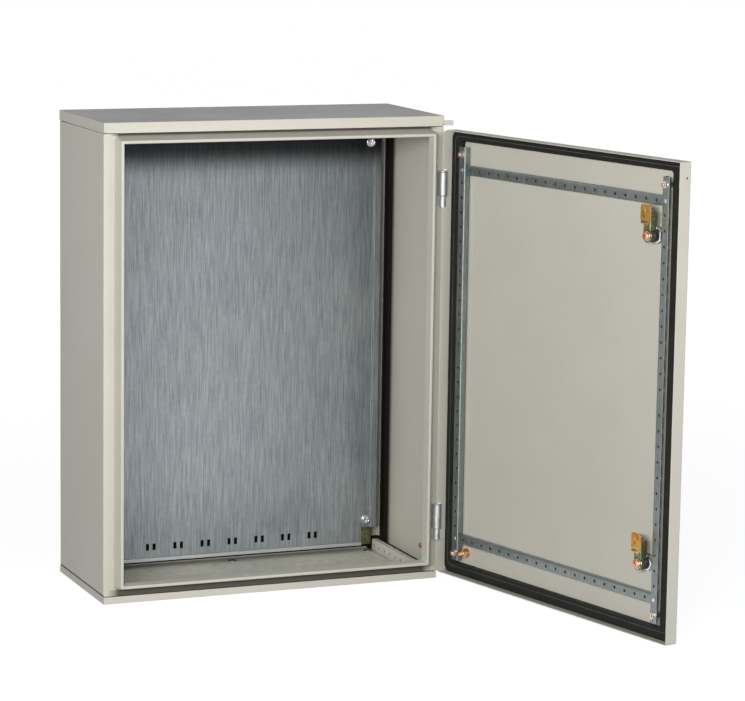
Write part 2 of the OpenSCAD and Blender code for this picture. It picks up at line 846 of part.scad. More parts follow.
// Calls its children at the four studs that hold the vertical rails
module at_rail_studs() {
    for (x = [rail_hinge_x, rail_latch_x], z = stud_z) translate([x, 0, z]) children();
}

module rail_studs() {
    color("#b06a3a") door_place() at_rail_studs() {
        bar_y(stud_collar_r, skin_in, rail_face - rail_t);
        bar_y(m6_r, skin_in, rail_face + m6_nut_h + 3);
    }
}

module rail_nuts() {
    color("#c9cbcc") door_place() at_rail_studs() difference() {
        hex_y(m6_nut, rail_face, rail_face + m6_nut_h);
        bar_y(m6_r + 0.05, rail_face - 1, rail_face + m6_nut_h + 1);
    }
}

module on_door_skin() {
    translate([door_earth_x, skin_in, door_earth_z]) children();
}

module door_earth_stud() {
    color("#b06a3a") door_place() on_door_skin() earth_stud();
}

module door_earth_nut() {
    color("#c9a25a") door_place() on_door_skin() earth_nut();
}

// ---------- door side of the hinges ----------

// Height above the base of a knuckle's foot
function knuckle_z(z) = z - hinge_step - knuckle_len;

// Knuckle on a short leaf that is welded to the inner face of the hinge-side return
module door_leaf(z) {
    foot = knuckle_z(z);
    leaf_y = skin_in + gasket_t + play;
    leaf_x = door_edge - sheet_t - leaf_t;
    difference() {
        union() {
            translate([0, 0, at(foot)]) cylinder(r = knuckle_r, h = knuckle_len);
            translate([leaf_x, leaf_y, at(foot)]) cube([leaf_t, -leaf_y - pin_r - 0.5, knuckle_len]);
        }
        translate([0, 0, at(foot) - 1]) cylinder(r = pin_r + 0.02, h = knuckle_len + 2);
    }
}

module door_leaf_upper() {
    color("#cfd2d4") door_place() door_leaf(hinge_feet[1]);
}

module door_leaf_lower() {
    color("#cfd2d4") door_place() door_leaf(hinge_feet[0]);
}

module hinge_pins() {
    foot = -hinge_step - knuckle_len;
    color("#d7d9da") door_place() for (z = hinge_feet)
        translate([0, 0, at(z)]) {
            translate([0, 0, foot]) cylinder(r = pin_r, h = barrel_len + play - foot);
            translate([0, 0, barrel_len + play]) cylinder(r = pin_head_r, h = pin_head_h);
        }
}

module hinge_washers() {
    color("#d7d9da") door_place() for (z = hinge_feet)
        translate([0, 0, at(z) - play - washer_t]) difference() {
            cylinder(r = washer_r, h = washer_t);
            translate([0, 0, -1]) cylinder(r = pin_r + 0.05, h = washer_t + 2);
        }
}

// ---------- latches ----------

module lock_housings() {
    color("#3a3c3e") door_place() at_latches() difference() {
        union() {
            bar_y(collar_r, skin_out - collar_h, skin_out);
            bar_y(housing_r, skin_out, skin_in + housing_in);
        }
        bar_y(insert_r + insert_fit, skin_out - collar_h - 1, skin_in + housing_in + 1);
    }
}

module lock_nuts() {
    color("#c9cbcc") door_place() at_latches() difference() {
        union() {
            bar_y(collar_r, skin_in, skin_in + 1.5);
            hex_y(lock_nut_af, skin_in + 1.5, skin_in + 1.5 + lock_nut_h);
        }
        bar_y(housing_r + 0.05, skin_in - 1, skin_in + lock_nut_h + 3);
    }
}

// Turning insert with a double-bit key recess outside and a square end inside
module latch_insert(z) {
    door_place() translate([latch_x, 0, at(z)]) difference() {
        union() {
            bar_y(insert_r, skin_out - collar_h + 1, skin_in + housing_in);
            bar_y(insert_r + 1.5, skin_in + housing_in + play, skin_in + hub_rise);
            bar_y(insert_r - 1, skin_in + housing_in - 1, skin_in + hub_rise);
            translate([0, skin_in + hub_rise + cam_t / 2, 0])
                cube([square_w, cam_t, square_w], center = true);
        }
        difference() {
            bar_y(key_r + 1, skin_out - collar_h, skin_out + 8);
            bar_y(key_r - 1.8, skin_out - collar_h - 1, skin_out + 9);
        }
    }
}

module upper_insert() {
    color("#8a8c8e") latch_insert(latch_feet[1]);
}

module lower_insert() {
    color("#8a8c8e") latch_insert(latch_feet[0]);
}

// Cam with a joggle, so that its tongue passes behind the inner return, and a folded side flange
module latch_cam(z) {
    hub_y = skin_in + hub_rise;
    tongue_y = skin_in + tongue_rise;
    door_place() translate([latch_x, 0, at(z)]) difference() {
        union() {
            bar_y(neck_w / 2 + 1.5, hub_y, hub_y + cam_t);
            translate([-neck_w / 2, hub_y, 0]) cube([neck_w, cam_t, joggle_at]);
            translate([-neck_w / 2, hub_y, joggle_at - cam_t])
                cube([neck_w, tongue_y + cam_t - hub_y, cam_t]);
            front_view(tongue_y, tongue_y + cam_t)
                rounded_rect(-tongue_w / 2, joggle_at - cam_t, tongue_w / 2, cam_len, 3);
            translate([-tongue_w / 2, tongue_y + cam_t - cam_flange, cam_flange_z])
                cube([cam_t, cam_flange, cam_flange_len]);
        }
        translate([0, hub_y, 0]) cube([square_w + 0.2, 3 * cam_t, square_w + 0.2], center = true);
    }
}

module upper_cam() {
    color("#8a7f3f") latch_cam(latch_feet[1]);
}

module lower_cam() {
    color("#8a7f3f") latch_cam(latch_feet[0]);
}

module cam_screw(z) {
    y0 = skin_in + hub_rise + cam_t;
    door_place() translate([latch_x, 0, at(z)]) difference() {
        union() {
            bar_y(6.5, y0, y0 + 1.2);
            hex_y(m6_nut, y0 + 1.2, y0 + 5);
        }
        bar_y(2, y0 + 3, y0 + 6);
    }
}

module upper_cam_screw() {
    color("#c79a55") cam_screw(latch_feet[1]);
}

module lower_cam_screw() {
    color("#c79a55") cam_screw(latch_feet[0]);
}

body_shell();
front_frame();
top_cover();
cover_lug();
bottom_cover();
rear_strips();
gland_plate();
gland_gasket();
gland_screws();
mounting_plate();
plate_brackets();
plate_spacers();
plate_screws();
plate_nuts();
depth_rail_bottom_left();
depth_rail_bottom_right();
depth_rail_top_left();
depth_rail_top_right();
body_earth_bush();
hinge_leaf_upper();
hinge_leaf_lower();
hinge_studs();
hinge_nuts();
door_panel();
door_gasket();
door_rail_hinge_side();
door_rail_latch_side();
door_rail_top();
door_rail_bottom();
rail_rivets();
rail_studs();
rail_nuts();
door_earth_stud();
door_earth_nut();
door_leaf_upper();
door_leaf_lower();
hinge_pins();
hinge_washers();
lock_housings();
lock_nuts();
upper_insert();
upper_cam();
upper_cam_screw();
lower_insert();
lower_cam();
lower_cam_screw();
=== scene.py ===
# %% [markdown]
# # A steel wall enclosure with its door open
# The cabinet is folded from painted sheet, the plate inside it is galvanised, and the door
# carries a foam gasket, a perforated frame and two quarter-turn latches.
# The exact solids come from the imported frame. Here they get rolled edges, foam, threads and
# finishes. All lengths are in metres, and +Z is up.

import json
import math

import bmesh
import bpy
from mathutils import Matrix, Vector


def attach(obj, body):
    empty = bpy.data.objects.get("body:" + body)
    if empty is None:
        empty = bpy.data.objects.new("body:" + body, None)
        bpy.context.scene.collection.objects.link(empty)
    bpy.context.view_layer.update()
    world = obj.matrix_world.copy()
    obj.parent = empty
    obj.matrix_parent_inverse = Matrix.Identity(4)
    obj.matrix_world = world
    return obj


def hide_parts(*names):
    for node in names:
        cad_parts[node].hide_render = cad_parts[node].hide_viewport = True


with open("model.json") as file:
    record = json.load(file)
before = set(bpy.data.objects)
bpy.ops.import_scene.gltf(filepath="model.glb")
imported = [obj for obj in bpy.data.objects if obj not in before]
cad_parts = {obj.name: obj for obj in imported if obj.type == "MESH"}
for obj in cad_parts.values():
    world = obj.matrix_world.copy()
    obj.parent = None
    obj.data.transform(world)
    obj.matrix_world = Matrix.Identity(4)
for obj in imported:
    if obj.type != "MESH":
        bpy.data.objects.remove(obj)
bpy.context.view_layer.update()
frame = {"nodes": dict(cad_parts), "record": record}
NODES = frame["nodes"]
BODIES = frame["record"]["behaviour"]["bodies"]
BODY_OF = {node: body for body, members in BODIES.items() for node in members}

# %% [markdown]
# ## Node helpers
# A material is a chain of small nodes. Two short functions keep that chain readable: one joins
# a source to an input, the other adds a node together with everything that feeds it.

# %% Helpers for node trees


def join(tree, source, target):
    """Links a socket, or a node's first output, to an input; a plain value is written on it."""
    if isinstance(source, bpy.types.Node):
        source = source.outputs[0]
    if isinstance(source, bpy.types.NodeSocket):
        tree.links.new(source, target)
    elif target.type == "RGBA" and len(source) == 3:
        target.default_value = (*source, 1.0)
    else:
        target.default_value = source


def add(tree, kind, *feeds, **settings):
    """Adds a node. Feeds go to its inputs in order; a setting names a property or an input."""
    made = tree.nodes.new(kind)
    for name, value in settings.items():
        if hasattr(made, name):
            setattr(made, name, value)
        else:
            join(tree, value, made.inputs[name.replace("_", " ")])
    for target, value in zip(made.inputs, feeds):
        join(tree, value, target)
    return made


def object_place(tree):
    return add(tree, "ShaderNodeTexCoord").outputs["Object"]


def split(tree, vector):
    return add(tree, "ShaderNodeSeparateXYZ", vector).outputs


def noise(tree, place, scale, detail, **settings):
    return add(tree, "ShaderNodeTexNoise", Vector=place, Scale=scale, Detail=detail, **settings)


def ramp(tree, factor, *colours):
    """A colour ramp from (place, colour) pairs."""
    made = add(tree, "ShaderNodeValToRGB", factor)
    line = made.color_ramp
    while len(line.elements) < len(colours):
        line.elements.new(0.5)
    for element, (place, colour) in zip(line.elements, colours):
        element.position = place
        element.color = (*colour, 1.0)
    return made.outputs["Color"]


def grey(value):
    return (value, value, value)


def spread(tree, value, low, high, out_low=0.0, out_high=1.0):
    """Stretches a value's range, with both ends held."""
    return add(tree, "ShaderNodeMapRange", value, low, high, out_low, out_high, clamp=True).outputs[0]


def maths(tree, operation, a, b):
    return add(tree, "ShaderNodeMath", a, b, operation=operation).outputs[0]


def times(tree, a, b):
    return maths(tree, "MULTIPLY", a, b)


def blend_colours(tree, factor, a, b, kind="MIX"):
    made = add(tree, "ShaderNodeMix", data_type="RGBA", blend_type=kind)
    for index, value in ((0, factor), (6, a), (7, b)):
        join(tree, value, made.inputs[index])
    return made.outputs[2]


def new_tree(kind, name, inputs, outputs):
    """A node group with (name, socket kind, default) inputs and (name, socket kind) outputs."""
    tree = bpy.data.node_groups.new(name, kind)
    for label, sort, default in inputs:
        socket = tree.interface.new_socket(label, in_out="INPUT", socket_type="NodeSocket" + sort)
        if default is not None:
            socket.default_value = default
    for label, sort in outputs:
        tree.interface.new_socket(label, in_out="OUTPUT", socket_type="NodeSocket" + sort)
    return tree, tree.nodes.new("NodeGroupInput").outputs, tree.nodes.new("NodeGroupOutput").inputs


def new_effect(name, inputs, outputs):
    """A shader group whose inputs and outputs are all plain values."""
    numbers = [(label, "Float", default) for label, default in inputs.items()]
    return new_tree("ShaderNodeTree", name, numbers, [(label, "Float") for label in outputs])


def effect(tree, group, **values):
    return add(tree, "ShaderNodeGroup", node_tree=group, **values).outputs


print("node helpers ready")

# %% [markdown]
# ## Effects that several finishes share
# Powder coat isn't flat: it flows into a fine orange peel as it melts. Rolled zinc keeps
# faint lines along the direction in which the strip ran. Dust settles on what faces up, and
# handling rubs every edge. Each of these is a group, built once.

# %% Orange peel of a powder coat
tree, g_in, g_out = new_effect("orange peel", {"Grain": 420.0, "Depth": 1.0}, ["Height", "Mottle"])
place = object_place(tree)
fine = noise(tree, place, g_in["Grain"], 2.0, Roughness=0.55)
broad = noise(tree, place, 9.0, 4.0, Roughness=0.6)
join(tree, times(tree, fine, g_in["Depth"]), g_out["Height"])
join(tree, spread(tree, broad, 0.3, 0.7), g_out["Mottle"])
peel_group = tree
print("group", tree.name)

# %% Rolling lines of a zinc-coated strip
tree, g_in, g_out = new_effect(
    "rolling lines", {"Across X": 260.0, "Across Y": 260.0, "Along Z": 3.0}, ["Lines", "Clouds", "Spangle"])
place = object_place(tree)
stretch = add(tree, "ShaderNodeCombineXYZ", g_in["Across X"], g_in["Across Y"], g_in["Along Z"])
stretched = add(tree, "ShaderNodeVectorMath", place, stretch, operation="MULTIPLY")
streak = noise(tree, stretched, 1.0, 3.0, Roughness=0.65, Distortion=0.15)
clouds = noise(tree, place, 7.0, 5.0, Roughness=0.6, Distortion=0.4)
spangle = add(tree, "ShaderNodeTexVoronoi", Vector=place, Scale=160.0)
join(tree, streak, g_out["Lines"])
join(tree, spread(tree, clouds, 0.3, 0.7), g_out["Clouds"])
join(tree, add(tree, "ShaderNodeRGBToBW", spangle.outputs["Color"]), g_out["Spangle"])
lines_group = tree
print("group", tree.name)

# %% Rubbed edges and settled dust
edge_group, g_in, g_out = new_effect("rubbed edge", {"Width": 0.0012, "Patchiness": 0.5}, ["Edge"])
rounded = add(edge_group, "ShaderNodeBevel", samples=4, Radius=g_in["Width"])
true_normal = add(edge_group, "ShaderNodeNewGeometry").outputs["Normal"]
compare = add(edge_group, "ShaderNodeVectorMath", rounded, true_normal, operation="DOT_PRODUCT")
rubbed = spread(edge_group, compare.outputs["Value"], 0.97, 0.80)
patchy = spread(edge_group, noise(edge_group, object_place(edge_group), 35.0, 4.0), 0.35, 0.65)
kept = maths(edge_group, "SUBTRACT", 1.0, times(edge_group, g_in["Patchiness"], patchy))
join(edge_group, times(edge_group, rubbed, kept), g_out["Edge"])

dust_group, g_in, g_out = new_effect("settled dust", {"Amount": 0.3}, ["Dust"])
facing = split(dust_group, add(dust_group, "ShaderNodeNewGeometry").outputs["Normal"])
upward = spread(dust_group, facing["Z"], 0.2, 1.0)
specks = spread(dust_group, noise(dust_group, object_place(dust_group), 60.0, 6.0, Roughness=0.7), 0.35, 0.75)
join(dust_group, times(dust_group, times(dust_group, upward, specks), g_in["Amount"]), g_out["Dust"])
print("groups", edge_group.name, dust_group.name)

# %% [markdown]
# Some faces get painted shade where little light reaches them: behind the mounting plate, inside the channels,
# in the lap seams and under the sealing rim their colour is darkened nearly to black. Each zone is a box
# in the cabinet's coordinates, with a soft border. The zones of the door are boxes too, once the door's
# coordinates are turned back to closed.

# %% Painted shade in deep corners
DOOR_OPEN = 103.5
HINGE_X, HINGE_Y = 0.297, -0.2572
painted_shade_group, g_in, g_out = new_effect("deep corners", {"Strength": 1.0}, ["Shade", "Low", "Lid"])
place = object_place(painted_shade_group)
closed = add(painted_shade_group, "ShaderNodeVectorRotate", rotation_type="Z_AXIS", Vector=place,
             Center=(HINGE_X, HINGE_Y, 0.0), Angle=math.radians(-DOOR_OPEN))
at_x, at_y, at_z = split(painted_shade_group, place)
AT = {"x": add(painted_shade_group, "ShaderNodeMath", at_x, operation="ABSOLUTE"), "y": at_y,
      "z": add(painted_shade_group, "ShaderNodeMath", at_z, operation="ABSOLUTE"), "up": at_z}
for axis, socket in zip("xyz", split(painted_shade_group, closed)):
    AT["door " + axis] = socket


def zone(limits, strength=1.0):
    """Product of soft steps: each limit is (axis, value where it is 0, value where it is 1)."""
    inside = strength
    for axis, zero, one in limits:
        inside = times(painted_shade_group, spread(painted_shade_group, AT[axis], zero, one), inside)
    return inside


IN_FROM_BACK = ("y", -0.0008, -0.0010)
BELOW_COVERS = ("z", 0.3966, 0.3964)
SEAM_SIDES = [("x", 0.2960, 0.2965), ("x", 0.2994, 0.2992)]
FLANGE_FACE = [("y", -0.2535, -0.2515), ("y", -0.2494, -0.2497)]
rear_walls = [("x", 0.2990, 0.2989), ("x", 0.2945, 0.2950), ("y", -0.048, -0.034), IN_FROM_BACK,
              BELOW_COVERS]
back_wall = [("x", 0.2840, 0.2760), ("y", -0.0036, -0.0030), IN_FROM_BACK, BELOW_COVERS]
inside_channels = [("x", 0.2711, 0.2713), ("x", 0.2980, 0.2979), ("z", 0.3770, 0.3774),
                   ("z", 0.3990, 0.3988), ("y", -0.2466, -0.2464), IN_FROM_BACK]
lower_seam = SEAM_SIDES + [("up", -0.3881, -0.3879), ("up", -0.3867, -0.3869)]
upper_seam = SEAM_SIDES + [("up", 0.3812, 0.3814), ("up", 0.3826, 0.3824)]
under_fascia = [("x", 0.2900, 0.2740), ("up", 0.3765, 0.3790), ("up", 0.3820, 0.3815)] + FLANGE_FACE
under_rim = [("x", 0.2930, 0.2740), ("up", -0.3755, -0.3775), ("up", -0.3872, -0.3868)] + FLANGE_FACE
# Painted shade: a dark line along the outer side walls, just above the lower seam.
outer_seam_shade = [("x", 0.2993, 0.2995), ("up", -0.3838, -0.3848), ("up", -0.3874, -0.3868),
             ("y", -0.2535, -0.2520)]
zones = [zone(rear_walls), zone(back_wall), zone(inside_channels), zone(lower_seam), zone(upper_seam, 0.6),
         zone(under_fascia, 0.93), zone(under_rim, 0.88), zone(outer_seam_shade, 0.85)]
# Painted shade inside the door's cross rails, seen through their holes.
for rail_at in (-0.3233, 0.3113):
    zones.append(zone([
        ("door x", -0.5475, -0.5465), ("door x", -0.0415, -0.0425), ("door y", -0.0158, -0.0160),
        ("door y", -0.0275, -0.0273), ("door z", rail_at - 0.0068, rail_at - 0.0062),
        ("door z", rail_at + 0.0068, rail_at + 0.0062)], 0.9))
shade = zones[0]
for other in zones[1:]:
    shade = maths(painted_shade_group, "MAXIMUM", shade, other)
join(painted_shade_group, times(painted_shade_group, shade, g_in["Strength"]), g_out["Shade"])
# Low darkens the colour towards the bottom, and Lid marks the lid's top face; both carry painted shade.
join(painted_shade_group, spread(painted_shade_group, at_z, 0.30, -0.40), g_out["Low"])
join(painted_shade_group, spread(painted_shade_group, at_z, 0.3988, 0.3998), g_out["Lid"])
print("group", painted_shade_group.name, "zones", len(zones))

# %% [markdown]
# ## Finishes
# The paint is a warm light grey powder coat. It is one material for the cabinet and the door,
# since both pass through the same oven.

# %% Painted sheet


def start_material(name, **settings):
    """A material with a Principled BSDF, and constants written on its own sockets."""
    made = bpy.data.materials.new(name)
    made.use_nodes = True
    tree = made.node_tree
    tree.nodes.clear()
    surface = add(tree, "ShaderNodeBsdfPrincipled", **settings)
    add(tree, "ShaderNodeOutputMaterial", surface)
    return made, tree, surface


def coat(tree, surface, tone, rough, height=None, distance=0.0, strength=1.0):
    """Feeds the colour, the roughness and, where there is one, the relief to the surface."""
    join(tree, tone, surface.inputs["Base Color"])
    join(tree, rough, surface.inputs["Roughness"])
    if height is not None:
        bump = add(tree, "ShaderNodeBump", Strength=strength, Distance=distance, Height=height)
        join(tree, bump, surface.inputs["Normal"])


PAINT = (0.618, 0.608, 0.538)
paint, tree, surface = start_material("powder coat, light grey", Specular_IOR_Level=0.35, IOR=1.5)
peel = effect(tree, peel_group, Grain=520.0, Depth=1.0)
edge = effect(tree, edge_group, Width=0.0010, Patchiness=0.7)
dust = effect(tree, dust_group, Amount=0.22)
painted_shade_out = effect(tree, painted_shade_group, Strength=1.0)
thin_coat, thick_coat = (tuple(c * share for c in PAINT) for share in (0.975, 1.02))
tone = ramp(tree, peel["Mottle"], (0.0, thin_coat), (1.0, thick_coat))
tone = blend_colours(tree, times(tree, edge["Edge"], 0.35), tone, (0.72, 0.72, 0.66))
tone = blend_colours(tree, dust["Dust"], tone, (0.44, 0.43, 0.40))
# Painted shade: the coat darkens towards the bottom of the cabinet.
tone = blend_colours(tree, times(tree, painted_shade_out["Low"], 0.16), tone, (0.34, 0.33, 0.29))
# Painted shade: the lid's top face is darkened to a mottled blue-grey.
lid_shade = times(tree, painted_shade_out["Lid"], spread(tree, peel["Mottle"], 0.0, 1.0, 0.72, 0.86))
tone = blend_colours(tree, lid_shade, tone, (0.41, 0.42, 0.43))
# Painted shade in the deep corners: the colour goes nearly black and the reflections fade.
tone = blend_colours(tree, painted_shade_out["Shade"], tone, (0.022, 0.020, 0.016))
join(tree, spread(tree, painted_shade_out["Shade"], 0.0, 1.0, 0.35, 0.02), surface.inputs["Specular IOR Level"])
coat(tree, surface, tone, spread(tree, peel["Mottle"], 0.0, 1.0, 0.40, 0.50), peel["Height"], 0.00006, 0.35)
print("material", paint.name)

# %% [markdown]
# A near-black coat is painted shade. It goes on the lap strips behind the seams and into the bore of
# the earth bush, where those faces lie in shade.

# %% Painted shade in the laps
# Painted shade: a near-black coat for faces that lie in shade.
near_black_shade, tree, surface = start_material("dark primer", Specular_IOR_Level=0.2)
peel = effect(tree, peel_group, Grain=300.0, Depth=1.0)
dust = effect(tree, dust_group, Amount=0.3)
tone = ramp(tree, peel["Mottle"], (0.0, (0.030, 0.028, 0.024)), (1.0, (0.055, 0.050, 0.042)))
tone = blend_colours(tree, dust["Dust"], tone, (0.20, 0.19, 0.17))
coat(tree, surface, tone, spread(tree, peel["Mottle"], 0.0, 1.0, 0.6, 0.75), peel["Height"], 0.00008, 0.4)
print("material", near_black_shade.name)

# %% [markdown]
# Hot-dip galvanised strip is a soft blue-grey metal. The mounting plate's lines run upright,
# as they did on the coil; the rails are cut from narrower strip, so their lines are finer.
# On the mounting plate the colour carries painted light: painted shade darkens it towards its top, nearly to
# black under the cover, with its reflections faded there, and a painted highlight lightens its bottom rim.

# %% Galvanised strip
TOP_SHADE = ((0.0, 1.0), (0.2, 0.86), (0.36, 0.60), (0.5, 0.38), (0.63, 0.20), (0.76, 0.12), (1.0, 0.09))
UPPER_SHADE = ((0.0, 1.0), (0.45, 0.84), (1.0, 0.70))


def galvanised(name, across, along, dark, light, rough, metallic, pressed=False):
    made, tree, surface = start_material(name, Metallic=metallic)
    lines = effect(tree, lines_group, Across_X=across, Across_Y=across, Along_Z=along)
    edge = effect(tree, edge_group, Width=0.0008, Patchiness=0.4)
    painted_shade_out = effect(tree, painted_shade_group, Strength=1.0)
    tone = ramp(tree, spread(tree, lines["Lines"], 0.36, 0.64), (0.0, dark), (1.0, light))
    cloudy = ramp(tree, lines["Clouds"], (0.0, (0.84, 0.86, 0.89)), (1.0, (1.05, 1.06, 1.03)))
    tone = blend_colours(tree, 1.0, tone, cloudy, "MULTIPLY")
    speckle = ramp(tree, lines["Spangle"], (0.0, grey(0.94)), (1.0, grey(1.04)))
    tone = blend_colours(tree, 1.0, tone, speckle, "MULTIPLY")
    tone = blend_colours(tree, times(tree, edge["Edge"], 0.5), tone, (0.75, 0.78, 0.80))
    # Painted shade in the deep corners and inside the rail channels.
    tone = blend_colours(tree, painted_shade_out["Shade"], tone, (0.02, 0.02, 0.018))
    # pressed turns on the mounting plate's painted shade and painted highlight.
    if pressed:
        up = split(tree, object_place(tree))["Z"]
        # Painted shade: the plate darkens nearly to black towards its top, under the cover.
        top_shade = ramp(tree, spread(tree, up, 0.280, 0.345), *((at, grey(value)) for at, value in TOP_SHADE))
        tone = blend_colours(tree, 1.0, tone, top_shade, "MULTIPLY")
        # Painted shade: the whole plate darkens gently towards its top.
        upper = ramp(tree, spread(tree, up, -0.36, 0.30), *((at, grey(value)) for at, value in UPPER_SHADE))
        tone = blend_colours(tree, 1.0, tone, upper, "MULTIPLY")
        # Painted highlight: the plate's bottom rim is lightened.
        rim = spread(tree, up, -0.3755, -0.3775)
        tone = blend_colours(tree, times(tree, rim, 0.55), tone, (0.62, 0.65, 0.65))
        # Painted shade: less reflection where the top is darkened.
        join(tree, spread(tree, top_shade, 0.1, 1.0, 0.05, 0.5), surface.inputs["Specular IOR Level"])
    patchy = spread(tree, lines["Clouds"], 0.0, 1.0, rough - 0.05, rough + 0.07)
    coat(tree, surface, tone, patchy, lines["Lines"], 0.00008, 0.5)
    return made


plate_zinc = galvanised(
    "galvanised, upright lines", 470.0, 16.0, (0.205, 0.228, 0.245), (0.345, 0.37, 0.382), 0.52, 0.85, True)
rail_zinc = galvanised("galvanised strip", 500.0, 60.0, (0.22, 0.245, 0.24), (0.31, 0.335, 0.33), 0.42, 0.85)
floor_zinc = galvanised("galvanised, flat", 60.0, 20.0, (0.66, 0.64, 0.57), (0.78, 0.76, 0.68), 0.6, 0.2)
satin_zinc = galvanised("satin zinc", 300.0, 120.0, (0.46, 0.48, 0.48), (0.66, 0.67, 0.66), 0.46, 0.7)
print("materials", plate_zinc.name, rail_zinc.name, floor_zinc.name, satin_zinc.name)

# %% [markdown]
# The small parts have three platings. Bright zinc is nearly a mirror with a blue cast. Yellow
# passivation is a thin film, so its colour wanders between gold, olive and rose. Weld studs
# are copper plated.

# %% Plated small parts


def plated(name, rough_low, rough_high, cloud_scale, *colours):
    made, tree, surface = start_material(name, Metallic=1.0)
    place = object_place(tree)
    film = noise(tree, place, cloud_scale, 3.0, Roughness=0.55, Distortion=0.6)
    grain = noise(tree, place, 1400.0, 3.0)
    edge = effect(tree, edge_group, Width=0.0005, Patchiness=0.5)
    tone = ramp(tree, spread(tree, film, 0.3, 0.7), *colours)
    bright = tuple(min(1.0, c * 1.25) for c in colours[-1][1])
    tone = blend_colours(tree, times(tree, edge["Edge"], 0.6), tone, bright)
    coat(tree, surface, tone, spread(tree, grain, 0.3, 0.7, rough_low, rough_high), grain, 0.00002, 0.3)
    return made


bright_zinc = plated("bright zinc", 0.18, 0.32, 60.0, (0.0, (0.60, 0.63, 0.66)), (1.0, (0.78, 0.79, 0.80)))
yellow_zinc = plated(
    "yellow passivated zinc", 0.26, 0.40, 90.0, (0.0, (0.22, 0.13, 0.05)), (0.3, (0.46, 0.24, 0.06)),
    (0.55, (0.64, 0.32, 0.08)), (0.8, (0.50, 0.33, 0.10)), (1.0, (0.66, 0.54, 0.28)))
olive_zinc = plated(
    "olive passivated zinc", 0.30, 0.45, 110.0,
    (0.0, (0.10, 0.10, 0.06)), (0.6, (0.20, 0.19, 0.10)), (1.0, (0.34, 0.32, 0.18)))
copper = plated("copper plating", 0.24, 0.38, 110.0, (0.0, (0.58, 0.24, 0.13)), (1.0, (0.80, 0.42, 0.26)))
brass = plated("yellow metal", 0.25, 0.40, 80.0, (0.0, (0.62, 0.42, 0.16)), (1.0, (0.80, 0.60, 0.28)))
die_cast = plated("die casting", 0.30, 0.45, 50.0, (0.0, (0.42, 0.42, 0.43)), (1.0, (0.55, 0.55, 0.56)))
print("materials", [m.name for m in (bright_zinc, yellow_zinc, olive_zinc, copper, brass, die_cast)])

# %% [markdown]
# The gasket is poured as a foam and skins over, so it is matt black with tiny pores. The lock
# housings are moulded, with a faint spark-eroded texture.

# %% Foam and moulded plastic
foam, tree, surface = start_material("poured foam", Specular_IOR_Level=0.18)
place = object_place(tree)
pores = add(tree, "ShaderNodeTexVoronoi", Vector=place, Scale=900.0)
swell = spread(tree, noise(tree, place, 40.0, 3.0), 0.3, 0.7)
dust = effect(tree, dust_group, Amount=0.25)
tone = ramp(tree, swell, (0.0, (0.010, 0.011, 0.010)), (1.0, (0.018, 0.019, 0.018)))
tone = blend_colours(tree, dust["Dust"], tone, (0.20, 0.20, 0.19))
relief = spread(tree, pores, 0.0, 0.5)
coat(tree, surface, tone, spread(tree, swell, 0.0, 1.0, 0.62, 0.75), relief, 0.0001, 0.5)

# Partly a painted highlight: the lip's foam is lighter grey than the gasket, besides being glossier.
foam_lip_highlight, tree, surface = start_material("foam lip", Specular_IOR_Level=0.5)
swell = spread(tree, noise(tree, object_place(tree), 25.0, 3.0), 0.3, 0.7)
tone = ramp(tree, swell, (0.0, (0.05, 0.05, 0.05)), (1.0, (0.11, 0.11, 0.105)))
coat(tree, surface, tone, spread(tree, swell, 0.0, 1.0, 0.35, 0.5))

plastic, tree, surface = start_material("moulded black", Specular_IOR_Level=0.45)
peel = effect(tree, peel_group, Grain=1500.0, Depth=1.0)
edge = effect(tree, edge_group, Width=0.0006, Patchiness=0.6)
tone = ramp(tree, peel["Mottle"], (0.0, (0.024, 0.024, 0.026)), (1.0, (0.038, 0.038, 0.040)))
tone = blend_colours(tree, times(tree, edge["Edge"], 0.3), tone, (0.11, 0.11, 0.11))
coat(tree, surface, tone, spread(tree, peel["Mottle"], 0.0, 1.0, 0.42, 0.55), peel["Height"], 0.00005, 0.4)
print("materials", foam.name, foam_lip_highlight.name, plastic.name)

# %% Each node's finish
FINISH = dict.fromkeys(NODES, paint)
for name in NODES:
    if any(word in name for word in ("screw", "nut", "spacer", "washer")):
        FINISH[name] = bright_zinc
    if name.startswith(("hinge_", "door_leaf")):
        FINISH[name] = satin_zinc
    if name.startswith("door_rail"):
        FINISH[name] = rail_zinc
for finish, names in (
        (plate_zinc, ["mounting_plate"]), (floor_zinc, ["gland_plate"]),
        (rail_zinc, ["rail_rivets", "gland_screws"]), (yellow_zinc, ["upper_cam", "lower_cam"]),
        (olive_zinc, ["plate_brackets"]), (plastic, ["lock_housings"]),
        (die_cast, ["upper_insert", "lower_insert"]), (foam, ["door_gasket", "gland_gasket"]),
        (copper, ["upper_cam_screw", "lower_cam_screw", "body_earth_bush", "door_earth_stud",
                  "hinge_studs", "rail_studs"]), (brass, ["door_earth_nut"])):
    FINISH.update(dict.fromkeys(names, finish))
for name, node in NODES.items():
    node.data.materials.clear()
    node.data.materials.append(FINISH[name])
print("finished nodes", len(FINISH))

# %% [markdown]
# ## Building sheet metal
# Folded sheet has no sharp corners: every bend has a radius near the sheet's own thickness,
# and the coat rounds each cut edge. So the folded pieces are built again from their profiles,
# with the bends rounded. Lengths below are in millimetres and are scaled once, in one place.

# %% Helpers for meshes
MM = 0.001
DOOR_TURN = Matrix.Translation((HINGE_X, HINGE_Y, 0.0)) @ Matrix.Rotation(math.radians(DOOR_OPEN), 4, "Z")


